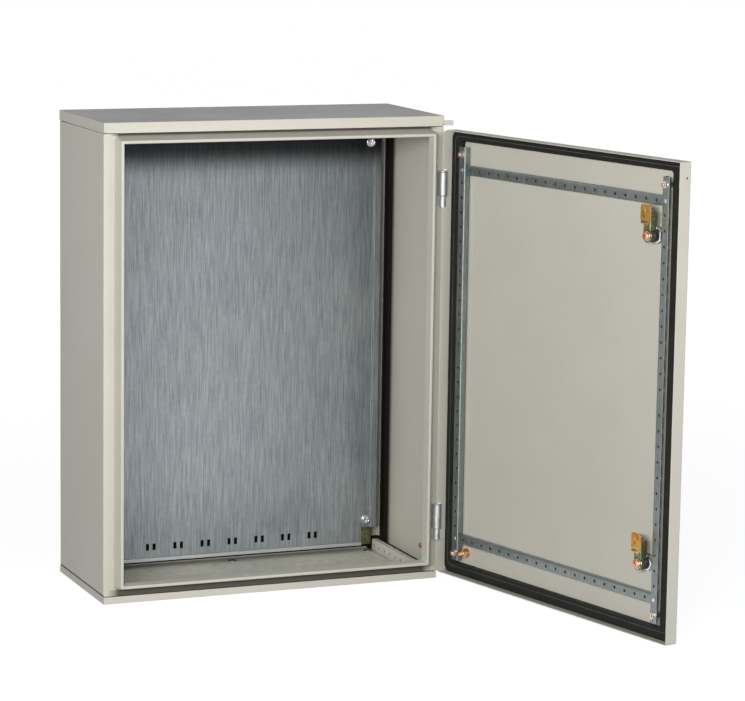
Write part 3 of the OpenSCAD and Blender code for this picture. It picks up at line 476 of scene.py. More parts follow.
class Solids:
    """Collects closed shapes, in millimetres, for one mesh."""

    def __init__(self):
        self.points, self.faces = [], []

    def add(self, points, faces):
        start = len(self.points)
        self.points += [tuple(p) for p in points]
        self.faces += [tuple(start + i for i in face) for face in faces]
        return self

    def box(self, x0, x1, y0, y1, z0, z1):
        corners = [(x, y, z) for z in (z0, z1) for x, y in ((x0, y0), (x1, y0), (x1, y1), (x0, y1))]
        sides = [(0, 1, 5, 4), (1, 2, 6, 5), (2, 3, 7, 6), (3, 0, 4, 7)]
        return self.add(corners, [(3, 2, 1, 0), (4, 5, 6, 7)] + sides)

    def loft(self, rows, ring=False):
        """Joins equal rows of points; the last row meets the first in a ring, or both get a cap."""
        count = len(rows[0])
        faces = []
        for r in range(len(rows) if ring else len(rows) - 1):
            below, above = r * count, (r + 1) % len(rows) * count
            for k in range(count):
                n = (k + 1) % count
                faces.append((below + k, below + n, above + n, above + k))
        if not ring:
            last = (len(rows) - 1) * count
            faces += [tuple(reversed(range(count))), tuple(range(last, last + count))]
        return self.add([p for row in rows for p in row], faces)

    def lathe(self, at, profile, axis="y", sides=24):
        """Turns (radius, along) pairs about an axis and closes both ends."""
        rows = []
        for radius, along in profile:
            row = []
            for k in range(sides):
                a = math.tau * k / sides
                c, s = radius * math.cos(a), radius * math.sin(a)
                offset = {"x": (along, c, s), "y": (s, along, c), "z": (c, s, along)}[axis]
                row.append(tuple(p + q for p, q in zip(at, offset)))
            rows.append(row)
        return self.loft(rows)

    def prism(self, outline, to_point, a, b):
        """An outline carried from a to b; to_point turns (p, q, along) into a place."""
        return self.loft([[to_point(p, q, w) for p, q in outline] for w in (a, b)])


def fillet(corners, steps=4):
    """Rounds the corners of a closed outline given as (p, q, radius)."""
    out = []
    count = len(corners)
    for i, (p, q, radius) in enumerate(corners):
        here = Vector((p, q))
        back = (Vector(corners[i - 1][:2]) - here).normalized()
        ahead = (Vector(corners[(i + 1) % count][:2]) - here).normalized()
        half = math.acos(max(-1.0, min(1.0, back.dot(ahead)))) / 2
        if radius <= 0 or half > math.radians(89.5):
            out.append((p, q))
            continue
        middle = here + (back + ahead).normalized() * radius / math.sin(half)
        start = here + back * radius / math.tan(half) - middle
        end = here + ahead * radius / math.tan(half) - middle
        sweep = start.angle_signed(end)
        for k in range(steps + 1):
            turned = start.copy()
            turned.rotate(Matrix.Rotation(-sweep * k / steps, 2))
            out.append(tuple(middle + turned))
    return out


def frame_loop(x0, z0, x1, z1, radius, depth, arc=6):
    """A rounded rectangle at one depth, always with the same number of points."""
    out = []
    for cx, cz, start in ((x1 - radius, z1 - radius, 0), (x0 + radius, z1 - radius, 90),
                          (x0 + radius, z0 + radius, 180), (x1 - radius, z0 + radius, 270)):
        for k in range(arc + 1):
            a = math.radians(start + 90 * k / arc)
            out.append((cx + radius * math.cos(a), depth, cz + radius * math.sin(a)))
    return out


def to_object(name, mesh, material):
    made = bpy.data.objects.new(name, mesh)
    bpy.context.scene.collection.objects.link(made)
    made.data.materials.clear()
    made.data.materials.append(material)
    return made


def solid_object(name, solids, material):
    """One object from collected shapes, scaled to metres, with its faces turned outwards."""
    mesh = bpy.data.meshes.new(name)
    mesh.from_pydata([tuple(c * MM for c in p) for p in solids.points], [], solids.faces)
    tidy = bmesh.new()
    tidy.from_mesh(mesh)
    bmesh.ops.recalc_face_normals(tidy, faces=tidy.faces)
    tidy.to_mesh(mesh)
    tidy.free()
    return to_object(name, mesh, material)


def bake_modifiers(made):
    """Turns the evaluated object into a plain mesh and takes its modifiers off."""
    bpy.context.view_layer.update()
    graph = bpy.context.evaluated_depsgraph_get()
    mesh = bpy.data.meshes.new_from_object(made.evaluated_get(graph), depsgraph=graph)
    material = made.data.materials[0]
    made.modifiers.clear()
    made.data = mesh
    mesh.materials.clear()
    mesh.materials.append(material)
    return made


def cut(made, cutter):
    """Punches a cutter's shapes out of a piece."""
    if isinstance(cutter, Solids):
        cutter = solid_object("punch", cutter, made.data.materials[0])
    knife = made.modifiers.new("cut", "BOOLEAN")
    knife.operation = "DIFFERENCE"
    knife.solver = "EXACT"
    knife.object = cutter
    bake_modifiers(made)
    bpy.data.objects.remove(cutter)
    return made


def settle(made, angle=35.0):
    """Smooths bends and keeps the flat faces flat."""
    made.data.shade_smooth()
    made.data.set_sharp_from_angle(angle=math.radians(angle))
    even = made.modifiers.new("even", "WEIGHTED_NORMAL")
    even.mode = "FACE_AREA"
    even.weight = 100
    even.keep_sharp = True
    return bake_modifiers(made)


def roll_edges(made, width, shortest, steep=50.0):
    """Rounds the sharp edges of a solid that are longer than the shortest."""
    build = bmesh.new()
    build.from_mesh(made.data)
    weight = build.edges.layers.float.new("bevel_weight_edge")
    for edge in build.edges:
        if len(edge.link_faces) == 2 and edge.calc_length() >= shortest * MM:
            if edge.calc_face_angle(0.0) > math.radians(steep):
                edge[weight] = 1.0
    build.to_mesh(made.data)
    build.free()
    roll = made.modifiers.new("roll", "BEVEL")
    roll.width = width * MM
    roll.segments = 2
    roll.limit_method = "WEIGHT"
    roll.use_clamp_overlap = False
    roll.loop_slide = False
    return bake_modifiers(made)


def mount(made, body, *nodes, drawn_closed=True):
    """Shows a finished piece instead of its nodes, moving with their body."""
    if body != "cabinet" and drawn_closed:
        made.data.transform(DOOR_TURN)
    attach(made, body)
    if nodes:
        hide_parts(*nodes)
    return made


def finish(made, body, *nodes, punch=(), roll=None, angle=35.0):
    """Punches, rolls and smooths a piece, then puts it in its place."""
    for cutter in punch:
        cut(made, cutter)
    if roll:
        roll_edges(made, *roll)
    return mount(settle(made, angle), body, *nodes)


def piece(name, solids, material, body, *nodes, **steps):
    return finish(solid_object(name, solids, material), body, *nodes, **steps)


def from_node(node, width, shortest):
    """A copy of an exact solid with rolled edges."""
    mesh = NODES[node].data.copy()
    build = bmesh.new()
    build.from_mesh(mesh)
    bmesh.ops.remove_doubles(build, verts=build.verts, dist=1e-6)
    build.to_mesh(mesh)
    build.free()
    made = to_object(node + "_rolled", mesh, FINISH[node])
    settle(roll_edges(made, width, shortest))
    return mount(made, BODY_OF[node], node, drawn_closed=False)


print("mesh helpers ready")

# %% [markdown]
# ## Rules for what repeats
# Punched holes stand at one pitch and fasteners at a few places, each one turned as the last
# spanner left it. Geometry Nodes describe both once, and their named inputs do the rest.

# %% Geometry Nodes helpers


def new_rule(name, *inputs):
    """A geometry tree with these inputs and a material for what it makes."""
    ends = [("Geometry", "Geometry", None), *inputs, ("Finish", "Material", None)]
    return new_tree("GeometryNodeTree", name, ends, [("Geometry", "Geometry")])


def end_rule(tree, geometry, g_in, g_out):
    """Makes instances real, dresses them and hands them out."""
    real = add(tree, "GeometryNodeRealizeInstances", geometry)
    dressed = add(tree, "GeometryNodeSetMaterial", Geometry=real, Material=g_in["Finish"])
    join(tree, dressed, g_out["Geometry"])
    print("tree", tree.name)


def run_rule(name, points, tree, material, **values):
    """Runs a tree on single points, in millimetres, and keeps only the plain mesh."""
    mesh = bpy.data.meshes.new(name)
    mesh.from_pydata([tuple(c * MM for c in p) for p in points], [], [])
    made = to_object(name, mesh, material)
    run = made.modifiers.new(tree.name, "NODES")
    run.node_group = tree
    values["Finish"] = material
    for item in tree.interface.items_tree:
        if item.item_type == "SOCKET" and item.in_out == "INPUT" and item.name in values:
            run[item.identifier] = values[item.name]
    return bake_modifiers(made)


print("rule helpers ready")

# %% A row of punched holes
row_rule, g_in, g_out = new_rule(
    "hole row", ("Count", "Int", 10), ("Pitch", "Float", 0.025), ("Diameter", "Float", 0.0045),
    ("Depth", "Float", 0.006))
step = add(row_rule, "ShaderNodeCombineXYZ", Z=g_in["Pitch"])
line = add(row_rule, "GeometryNodeMeshLine", mode="OFFSET", Count=g_in["Count"], Offset=step)
radius = times(row_rule, g_in["Diameter"], 0.5)
pin = add(row_rule, "GeometryNodeMeshCylinder", Vertices=20, Radius=radius, Depth=g_in["Depth"])
lay = add(row_rule, "GeometryNodeTransform", Geometry=pin, Rotation=(math.pi / 2, 0.0, 0.0))
end_rule(row_rule, add(row_rule, "GeometryNodeInstanceOnPoints", Points=line, Instance=lay), g_in, g_out)


def hole_row(first, axis, count, diameter, depth):
    """Cutters for a row at the common pitch that starts at a place and runs along X, Y or Z."""
    made = run_rule("hole_row", [(0, 0, 0)], row_rule, paint,
                    Count=count, Pitch=25.0 * MM, Diameter=diameter * MM, Depth=depth * MM)
    turn = {"z": Matrix.Identity(4), "x": Matrix.Rotation(math.pi / 2, 4, "Y"),
            "y": Matrix.Rotation(-math.pi / 2, 4, "X") @ Matrix.Rotation(math.pi / 2, 4, "Z")}[axis]
    made.data.transform(Matrix.Translation(Vector(first) * MM) @ turn)
    return made


# %% Fasteners, each with its own turn
fastener_rule, g_in, g_out = new_rule(
    "fasteners", ("Part", "Object", None), ("Axis", "Vector", (0.0, 1.0, 0.0)), ("Spin", "Float", 1.0),
    ("Seed", "Int", 3))
part = add(fastener_rule, "GeometryNodeObjectInfo", Object=g_in["Part"])
spin = add(fastener_rule, "FunctionNodeRandomValue", data_type="FLOAT", Seed=g_in["Seed"])
join(fastener_rule, times(fastener_rule, g_in["Spin"], math.pi), spin.inputs[3])
aim = add(fastener_rule, "FunctionNodeAxisAngleToRotation", Axis=g_in["Axis"], Angle=spin.outputs[1])
end_rule(fastener_rule, add(fastener_rule, "GeometryNodeInstanceOnPoints", Points=g_in["Geometry"],
                            Instance=part.outputs["Geometry"], Rotation=aim), g_in, g_out)


def fasteners(name, part, points, axis, spin, seed, material, body, *nodes):
    """The same small part at each place, turned about its axis by a fixed random amount."""
    if isinstance(part, Solids):
        part = solid_object(name + "_part", part, material)
    made = run_rule(name, points, fastener_rule, material, Part=part, Axis=axis, Spin=spin, Seed=seed)
    bpy.data.objects.remove(part)
    return finish(made, body, *nodes)


def cross_head(head, material, reach, wide, y0, y1):
    """A screw head with a cross recess, pressed in one bar at a time."""
    made = solid_object("cross_head", head, material)
    for x, z in ((reach, wide), (wide, reach)):
        cut(made, Solids().box(-x, x, y0, y1, -z, z))
    return made


# %% A bead around a rounded frame
tree, g_in, g_out = new_rule(
    "frame bead", ("Width", "Float", 0.5), ("Height", "Float", 0.5), ("Corner", "Float", 0.01),
    ("Bead", "Float", 0.0005))
outline = add(tree, "GeometryNodeCurvePrimitiveQuadrilateral", Width=g_in["Width"], Height=g_in["Height"])
corners = add(tree, "GeometryNodeFilletCurve", mode="POLY", Curve=outline, Radius=g_in["Corner"], Count=8)
section = add(tree, "GeometryNodeCurvePrimitiveCircle", mode="RADIUS", Radius=g_in["Bead"], Resolution=8)
sweep = add(tree, "GeometryNodeCurveToMesh", corners, section)
end_rule(tree, sweep, g_in, g_out)
bead_rule = tree

# %% [markdown]
# ## Cabinet
# The sealing rim is the part that makes this box weatherproof. The sheet turns forward from
# the flange, folds over to a narrow crown that bites into the foam, and turns back inside.
# One profile, drawn once with its bend radii, is carried around a rounded frame.

# %% Front frame
CROWN = (-277.0, -371.0, 277.0, 372.0)
FLANGE = (-300.0, -386.8, 300.0, 381.3)
HINGE_FEET = {"lower": -310.0, "upper": 266.0}
rim_profile = fillet([
    (12.0, -250.0, 0), (5.7, -250.0, 2.4), (0.0, -274.0, 1.7), (-4.8, -274.0, 1.6), (-7.0, -257.0, 0.4),
    (-5.5, -257.0, 0.4), (-3.4, -272.5, 0.4), (-1.27, -272.5, 0.3), (4.2, -248.5, 1.0), (12.0, -248.5, 0)])
rows = [frame_loop(*FLANGE, 0.5, -250.0, 8)]
for grow, depth in rim_profile[1:-1]:
    x0, z0, x1, z1 = CROWN
    rows.append(frame_loop(x0 - grow, z0 - grow, x1 + grow, z1 + grow, max(1.5, 3.0 + grow), depth, 8))
rows.append(frame_loop(*FLANGE, 0.5, -248.5, 8))
slots = Solids().lathe((-54.0, -269.0, -369.1), [(2.0, -6.0), (2.0, 6.0)], "z")
for foot in HINGE_FEET.values():
    slots.box(289.35, 293.95, -250.6, -247.4, foot - 0.3, foot + 39.3)
    for low in (-21.5, 54.0):
        slots.box(288.85, 291.85, -250.6, -247.4, foot + low, foot + low + 8.0)
front_frame = piece(
    "front_frame_folded", Solids().loft(rows, ring=True), paint, "cabinet", "front_frame", punch=[slots])
laps = Solids()
for z0, z1 in ((-397.0, -383.8), (378.3, 397.0)):
    laps.box(-296.7, 296.7, -248.5, -247.0, z0, z1)
# The lap strips get the near-black coat as painted shade in the seams.
piece("frame_laps", laps, near_black_shade, "cabinet", roll=(0.3, 10.0))
print("front frame faces", len(front_frame.data.polygons))

# %% [markdown]
# The sides and the back are one sheet, and the two covers are trays that lap over it. The
# laps leave a narrow seam, which reads as a dark line. These pieces keep their exact solids;
# only the long edges are rolled.

# %% Shell, covers and brackets
for node, width, shortest in (
        ("body_shell", 0.5, 12.0), ("top_cover", 0.6, 3.0), ("bottom_cover", 0.6, 3.0), ("cover_lug", 0.5, 1.0),
        ("rear_strips", 0.4, 3.0), ("plate_brackets", 0.6, 3.0), ("gland_plate", 0.5, 3.0),
        ("gland_gasket", 0.4, 3.0)):
    print(node, "faces", len(from_node(node, width, shortest).data.polygons))

# %% [markdown]
# The mounting plate is pressed with a raised rim, which keeps a large thin sheet flat. Its
# corners are notched for the fixings, and pairs of slots run along the top and the bottom.

# %% Mounting plate
PLATE_X, PLATE_Z = 271.0, 383.0
FIXING_X, FIXING_Z = 251.0, 336.5
BOTH = (-1, 1)
plate_profile = fillet([
    (22.0, -45.0, 0), (12.8, -45.0, 0.9), (11.2, -47.5, 0.9), (0.0, -47.5, 0.8), (0.0, -45.0, 0.5),
    (10.0, -45.0, 1.0), (12.0, -42.5, 1.0), (22.0, -42.5, 0)])
rows = []
for inset, depth in plate_profile:
    x, z = PLATE_X - inset, PLATE_Z - 0.55 * inset
    rows.append(frame_loop(-x, -z, x, z, 1.0, depth, 2))
punch = Solids()
for sx in BOTH:
    for sz in BOTH:
        punch.box(*sorted((sx * 243.0, sx * 280.0)), -52.0, -35.0, *sorted((sz * 350.0, sz * 390.0)))
        punch.lathe((sx * FIXING_X, -43.0, sz * FIXING_Z), [(4.3, -6.0), (4.3, 6.0)])
for sz in BOTH:
    for i in range(-3, 4):
        for side in (-6.0, 6.0):
            x, z = i * 50.0 + side, sz * 358.0
            punch.box(x - 3.0, x + 3.0, -50.0, -35.0, z - 6.0, z + 6.0)
plate = piece(
    "mounting_plate_pressed", Solids().loft(rows), plate_zinc, "cabinet", "mounting_plate", punch=[punch])
print("mounting plate faces", len(plate.data.polygons))

# %% [markdown]
# The depth rails carry equipment above the floor. A channel bends out of one strip, and the
# row of holes comes from the same tree as the holes in the door rails.

# %% Depth rails
depth_outline = fillet([
    (280.0, -376.0, 0.3), (270.0, -376.0, 1.8), (270.0, -398.5, 1.8), (296.7, -398.5, 0.3),
    (296.7, -397.0, 0.3), (271.5, -397.0, 0.5), (271.5, -377.5, 0.5), (280.0, -377.5, 0.3)])
for level, sz in (("bottom", 1), ("top", -1)):
    for side, sx in (("right", 1), ("left", -1)):
        node = f"depth_rail_{level}_{side}"
        bent = Solids().prism(depth_outline, lambda p, q, w: (sx * p, w, sz * q), -246.7, -32.0)
        holes = hole_row((sx * 270.75, -238.0, sz * -387.25), "y", 9, 6.0, 6.0)
        piece(node + "_folded", bent, paint, "cabinet", node, punch=[holes])
print("depth rails", 4)

# %% [markdown]
# ## Hardware of the cabinet
# Screw heads are cold formed, so their rims are rounded and the cross recess is pressed in.
# Each one is built once and stands at its places with its own turn.

# %% Screws and bush
ORIGIN = (0, 0, 0)
X_AXIS, Y_AXIS, Z_AXIS = (1.0, 0.0, 0.0), (0.0, 1.0, 0.0), (0.0, 0.0, 1.0)
head = Solids().lathe(
    ORIGIN, [(6.0, -6.1), (6.8, -5.4), (7.0, -4.4), (7.0, -1.9), (6.6, -1.6), (4.0, -1.6), (4.0, 16.0)])
washer = Solids().lathe(ORIGIN, [(4.2, -1.6), (7.7, -1.6), (8.0, -1.3), (8.0, -0.3), (7.7, 0.0), (4.2, 0.0)])
fixings = [(sx * FIXING_X, -45.0, sz * FIXING_Z) for sx in BOTH for sz in BOTH]
screw = cross_head(head, bright_zinc, 4.6, 0.9, -8.0, -4.0)
fasteners("plate_screws_formed", screw, fixings, Y_AXIS, 2.0, 5, bright_zinc, "cabinet", "plate_screws")
fasteners("plate_washers", washer, fixings, Y_AXIS, 0.0, 1, bright_zinc, "cabinet")

gland_profile = [(4.0, -6.0), (4.0, 0.0), (8.0, 0.0), (8.0, 0.5), (7.0, 1.9), (5.0, 2.6)]
gland_screw = solid_object("gland_screw", Solids().lathe(ORIGIN, gland_profile, "z"), rail_zinc)
cut(gland_screw, Solids().box(-4.2, 4.2, -0.7, 0.7, 1.2, 4.0))
gland_places = [(i * 257.0, -129.0 + s * 84.0, -394.0) for i in (-1, 0, 1) for s in BOTH]
fasteners(
    "gland_screws_formed", gland_screw, gland_places, Z_AXIS, 2.0, 9, rail_zinc, "cabinet", "gland_screws")

BUSH_AT = (298.5, -187.5, -356.0)
bush_profile = [(2.5, -2.8), (4.0, -2.8), (4.4, -2.4), (4.4, 0.0), (2.5, 0.0), (2.2, -2.0)]
bush = Solids().lathe(ORIGIN, bush_profile, "x")
fasteners("earth_bush", bush, [BUSH_AT], X_AXIS, 0.0, 1, copper, "cabinet", "body_earth_bush")
# A near-black disc in the bush's bore is painted shade.
bore = Solids().lathe(BUSH_AT, [(0.4, -0.9), (2.4, -0.9), (2.4, -0.3), (0.4, -0.3)], "x", 20)
piece("earth_bush_bore", bore, near_black_shade, "cabinet")
print("cabinet hardware ready")

# %% [markdown]
# ## Door
# The door is a shallow tray. It is drawn closed, in its own frame: the hinge axis is the
# origin, the door reaches to -X and its outside faces -Y. One matrix then opens it.
# The return along the hinge is deeper than the other three, because it carries the knuckles.

# %% Door panel
DOOR = (-595.5, -388.5, 1.5, 376.5)
SKIN = -27.1
LATCH_X = -526.0
LATCH_Z = {"upper": 254.5, "lower": -269.0}
door_profile = fillet([
    (12.0, -28.6, 0), (0.0, -28.6, 2.4), (0.0, -5.6, 0.4), (1.5, -5.6, 0.4), (1.5, SKIN, 1.0),
    (12.0, SKIN, 0)])
rows = []
for inset, depth in door_profile:
    x0, z0, x1, z1 = DOOR
    row = frame_loop(x0 + inset, z0 + inset, x1 - inset, z1 - inset, max(2.4 - inset, 0.6), depth)
    if depth > -9.0:
        for k in (0, -1):
            x, y, z = row[k]
            row[k] = (x, y + 5.8, z)
    rows.append(row)
holes = Solids().lathe((DOOR[0], -20.6, 350.5), [(2.0, -4.0), (2.0, 4.0)], "x")
for foot in HINGE_FEET.values():
    holes.box(-1.0, 2.5, -8.4, 11.6, foot - 22.5, foot + 43.3)
for z in LATCH_Z.values():
    holes.lathe((LATCH_X, SKIN, z), [(10.7, -4.0), (10.7, 3.0)], "y", 40)
door_panel = piece("door_panel_folded", Solids().loft(rows), paint, "door", "door_panel", punch=[holes])
print("door panel faces", len(door_panel.data.polygons))

# %% [markdown]
# The gasket is poured into the tray as a liquid and foams up, so its corners are round and
# its top sags a little along the middle. It is wider at the sides than at the top, so the
# section is stretched between two rounded frames instead of being swept.

# %% Foam gasket
OUTER = (-594.0, -387.0, 0.0, 375.0, 14.0)
INNER = (-565.0, -367.0, -25.0, 359.0, 6.0)
foam_section = [
    (0.0, -27.1), (0.0, -19.4), (0.02, -18.0), (0.06, -17.3), (0.12, -17.1), (0.3, -17.15), (0.45, -17.35),
    (0.62, -17.3), (0.8, -17.12), (0.9, -17.15), (0.96, -17.6), (0.99, -18.4), (1.0, -19.6), (1.0, -27.1)]
rows = []
for part_way, depth in foam_section:
    x0, z0, x1, z1, r = (a + (b - a) * part_way for a, b in zip(OUTER, INNER))
    rows.append(frame_loop(x0, z0, x1, z1, r, depth, 8))
foam_ring = Solids().loft(rows, ring=True)
gasket = piece("door_gasket_foamed", foam_ring, foam, "door", "door_gasket", angle=60.0)
# A thin bead on the gasket's top; its lighter grey is partly a painted highlight.
lip = run_rule(
    "gasket_lip", [ORIGIN], bead_rule, foam_lip_highlight, Width=0.5736, Height=0.7405, Corner=0.010, Bead=0.0006)
lip.data.transform(Matrix.Translation((-0.297, -0.01752, -0.00325)) @ Matrix.Rotation(math.pi / 2, 4, "X"))
finish(lip, "door")
print("gasket faces", len(gasket.data.polygons), "lip faces", len(lip.data.polygons))

# %% [markdown]
# The door frame is galvanised strip, rolled with its outer bends and punched at a 25 mm
# pitch. The uprights are open on their outer side, so they read dark along the gasket. The
# cross rails are channels that pass under the uprights at each corner.

# %% Door rails
RAIL_FACE, CROSS_FACE = -13.1, -14.6
RAIL_X = {"hinge": -34.5, "latch": -554.5}
CROSS_Z = {"bottom": -323.3, "top": 311.3}
DOOR_MID = -6.0
HALF_W, INSIDE, STRIP_T, FLANGE_DEEP = 7.8, 6.3, 1.5, 10.3


def flanged(face):
    """One side of a rail's section, from the bend to the inner face."""
    return [(HALF_W, face, 1.9), (HALF_W, face - FLANGE_DEEP, 0.3), (INSIDE, face - FLANGE_DEEP, 0.3),
            (INSIDE, face - STRIP_T, 0.5)]


upright = fillet([(-HALF_W, RAIL_FACE - STRIP_T, 0.3), (-HALF_W, RAIL_FACE, 0.5)] + flanged(RAIL_FACE))
other_side = [(-p, q, r) for p, q, r in reversed(flanged(CROSS_FACE))]
cross = fillet(other_side[-2:] + flanged(CROSS_FACE) + other_side[:2])
for side, inner in (("hinge", -1), ("latch", 1)):
    x, node = RAIL_X[side], f"door_rail_{side}_side"
    bent = Solids().prism(
        upright, lambda p, q, w: (x + inner * p, q, w), DOOR_MID - 355.5, DOOR_MID + 355.5)
    passes = Solids()
    for z in CROSS_Z.values():
        passes.box(*sorted((x + inner * 5.0, x + inner * 11.0)), -26.0, RAIL_FACE - 1.6, z - 8.1, z + 8.1)
    rows = [hole_row((x, RAIL_FACE, DOOR_MID + start), "z", 12, 5.0, 5.4) for start in (20.5, -295.5)]
    piece(node + "_rolled", bent, rail_zinc, "door", node, punch=rows + [passes])
for end, z in CROSS_Z.items():
    node = "door_rail_" + end
    bent = Solids().prism(cross, lambda p, q, w: (w, q, z + p), -546.4, -42.6)
    for x0, x1 in ((-559.9, -546.5), (-42.5, -29.1)):
        bent.box(x0, x1, CROSS_FACE - STRIP_T, CROSS_FACE, z - 7.6, z + 7.6)
    holes = hole_row((-532.0, CROSS_FACE, z), "x", 20, 5.4, 5.4)
    piece(node + "_rolled", bent, rail_zinc, "door", node, punch=[holes])
print("door rails", 4)

# %% [markdown]
# Rivets join the rails, and copper-plated weld studs with nuts hold the frame to the skin.

# %% Rivets, studs and nuts of the door


def threaded(radius, y0, y1, pitch, depth=0.35):
    """Radius and place pairs of a threaded end with a small chamfer."""
    pairs = [(radius - depth, y0)]
    y = y0
    while y + pitch < y1 - 0.4:
        pairs += [(radius, y + pitch * 0.5), (radius - depth, y + pitch)]
        y += pitch
    return pairs + [(radius - 0.2, y1 - 0.5), (radius - 0.9, y1)]


def hexagon(across, y0, y1, chamfer=0.6, at=ORIGIN):
    r = across / math.sqrt(3)
    inner = r - 2 * chamfer
    return Solids().lathe(at, [(inner, y0), (r, y0 + chamfer), (r, y1 - chamfer), (inner, y1)], "y", 6)


corner_places = [(x, 0.0, z) for x in RAIL_X.values() for z in CROSS_Z.values()]
stud_places = [(x, 0.0, z) for x in RAIL_X.values() for z in (-349.0, 337.0)]
dome = Solids().lathe((0, RAIL_FACE, 0), [(3.4, 0.0), (3.2, 0.5), (2.3, 0.9), (1.0, 1.0)], "y", 20)
fasteners("rivets_set", dome, corner_places, Y_AXIS, 1.0, 2, bright_zinc, "door", "rail_rivets")
stud = Solids().lathe(ORIGIN, [(3.0, SKIN)] + threaded(3.0, RAIL_FACE, RAIL_FACE + 8.0, 1.0), "y", 20)
fasteners("rail_studs_threaded", stud, stud_places, Y_AXIS, 1.0, 4, copper, "door", "rail_studs")
BEHIND_RAIL = RAIL_FACE - STRIP_T
collar = Solids().lathe(ORIGIN, [(3.1, SKIN), (5.0, SKIN), (5.0, BEHIND_RAIL), (3.1, BEHIND_RAIL)], "y", 20)
fasteners("stud_collars", collar, stud_places, Y_AXIS, 0.0, 1, rail_zinc, "door")
nut = hexagon(10.0, RAIL_FACE + 0.9, RAIL_FACE + 5.0)
nut.lathe((0, RAIL_FACE, 0), [(3.3, 0.0), (5.75, 0.0), (5.75, 0.7), (5.5, 0.9), (3.3, 0.9)])
fasteners("rail_nuts_formed", nut, stud_places, Y_AXIS, 2.0, 7, bright_zinc, "door", "rail_nuts")

EARTH = (-52.0, SKIN, -348.0)
foot_disc = [(8.3, 0.0), (8.5, 0.3), (8.5, 1.2), (8.1, 1.5), (5.0, 1.5), (5.0, 2.8), (3.6, 3.0)]
earth = Solids().lathe(EARTH, foot_disc + threaded(4.0, 3.0, 22.0, 1.25), "y", 28)
piece("door_earth_stud_threaded", earth, copper, "door", "door_earth_stud", angle=50.0)
earth_nut = hexagon(13.0, 3.0, 9.5, 0.8, EARTH)
piece("door_earth_nut_formed", earth_nut, brass, "door", "door_earth_nut")
print("door hardware ready")

# %% [markdown]
# ## Hinges
# A hinge is a barrel on the cabinet, a shorter knuckle on the door and a pin through both,
# with a washer between them to carry the weight. The solids stay; their rims are rolled.

# %% Hinges
for node, width, shortest in (
        ("hinge_leaf_upper", 0.6, 0.45), ("hinge_leaf_lower", 0.6, 0.45), ("hinge_washers", 0.3, 0.5),
        ("hinge_pins", 0.7, 0.5), ("hinge_nuts", 0.3, 1.0), ("plate_nuts", 0.5, 2.0)):
    from_node(node, width, shortest)
knuckle_profile = [(3.1, 0.0), (4.8, 0.0), (5.4, 0.6), (5.4, 18.4), (4.8, 19.0), (3.1, 19.0)]
for name, foot in HINGE_FEET.items():
    low = foot - 21.0
    knuckle = Solids().lathe((0, 0, low), knuckle_profile, "z", 32)
    piece(name + "_knuckle", knuckle, satin_zinc, "door", "door_leaf_" + name)
    leaf = Solids().box(-2.5, -0.02, -16.8, -3.45, low, low + 19.0)
    piece(name + "_leaf", leaf, paint, "door", roll=(0.5, 1.0))
print("hinge pieces rolled")

# %% [markdown]
# ## Latches
# A quarter-turn latch has a housing through the skin, a rotor with the key's double bit
# outside, and a pressed cam inside. The cam is stepped so that its tongue passes behind the
# rim, and a folded edge stiffens it. Yellow passivation turns olive where the film is thick.

# %% Latches
HUB, TONGUE, CAM_T = SKIN + 22.0, SKIN + 28.0, 3.0
step_outline = fillet([
    (-2.0, HUB, 0.3), (22.0, HUB, 2.5), (22.0, TONGUE, 0.8), (24.5, TONGUE, 0.3), (24.5, TONGUE + CAM_T, 0.3),
    (19.0, TONGUE + CAM_T, 2.5), (19.0, HUB + CAM_T, 0.8), (-2.0, HUB + CAM_T, 0.3)])
blade_outline = fillet([
    (-9.0, 18.5, 2.0), (-14.0, 27.0, 3.0), (-14.0, 50.0, 4.0), (10.0, 50.0, 4.0), (10.0, 27.0, 3.0),
    (5.0, 18.5, 2.0)], 6)
fold_outline = fillet([
    (-14.0, TONGUE + CAM_T, 2.2), (-14.0, TONGUE - 9.5, 0.8), (-11.0, TONGUE - 9.5, 0.8),
    (-11.0, TONGUE + 0.4, 0.6), (-8.0, TONGUE + 0.4, 0.3), (-8.0, TONGUE + 2.98, 0.3)])
hub_profile = [(10.0, HUB), (10.5, HUB + 0.5), (10.5, HUB + 2.5), (10.0, HUB + CAM_T)]
spring_profile = [(7.8, 0.0), (8.0, 0.3), (8.0, 1.0), (7.7, 1.2), (3.0, 1.2)]
button_profile = [(6.9, 1.2), (7.1, 1.8), (6.8, 3.2), (5.8, 4.3), (3.8, 4.9), (1.4, 5.0)]
for name, z in LATCH_Z.items():
    body, cam = name + "_latch", name + "_cam"
    neck = Solids().lathe((LATCH_X, 0, z), hub_profile, "y", 40)
    neck.prism(step_outline, lambda p, q, w: (LATCH_X + w, q, z + p), -7.5, 8.5)
    piece(cam + "_neck", neck, olive_zinc, body, cam, roll=(0.4, 1.5))
    blade = Solids().prism(blade_outline, lambda p, q, w: (LATCH_X + p, w, z + q), TONGUE, TONGUE + CAM_T)
    dimple = Solids().lathe((LATCH_X - 2.0, TONGUE, z + 41.0), [(2.2, 2.2), (2.4, 4.0)], "y", 20)
    piece(cam + "_tongue", blade, yellow_zinc, body, punch=[dimple], roll=(0.6, 0.5))
    fold = Solids().prism(fold_outline, lambda p, q, w: (LATCH_X + p, q, z + w), 10.0, 40.0)
    piece(cam + "_fold", fold, olive_zinc, body, roll=(0.4, 1.0))
    spring = Solids().lathe((LATCH_X, HUB + CAM_T, z), spring_profile, "y", 28)
    piece(cam + "_washer", spring, bright_zinc, body)
    button = cross_head(Solids().lathe(ORIGIN, button_profile, "y", 28), copper, 3.8, 0.7, 3.0, 7.0)
    button.name = cam + "_screw_head"
    seat = Matrix.Translation(Vector((LATCH_X, HUB + CAM_T, z)) * MM)
    button.data.transform(seat @ Matrix.Rotation(0.6, 4, "Y"))
    finish(button, body, cam + "_screw")
    from_node(name + "_insert", 0.3, 0.5)
print("latches ready")

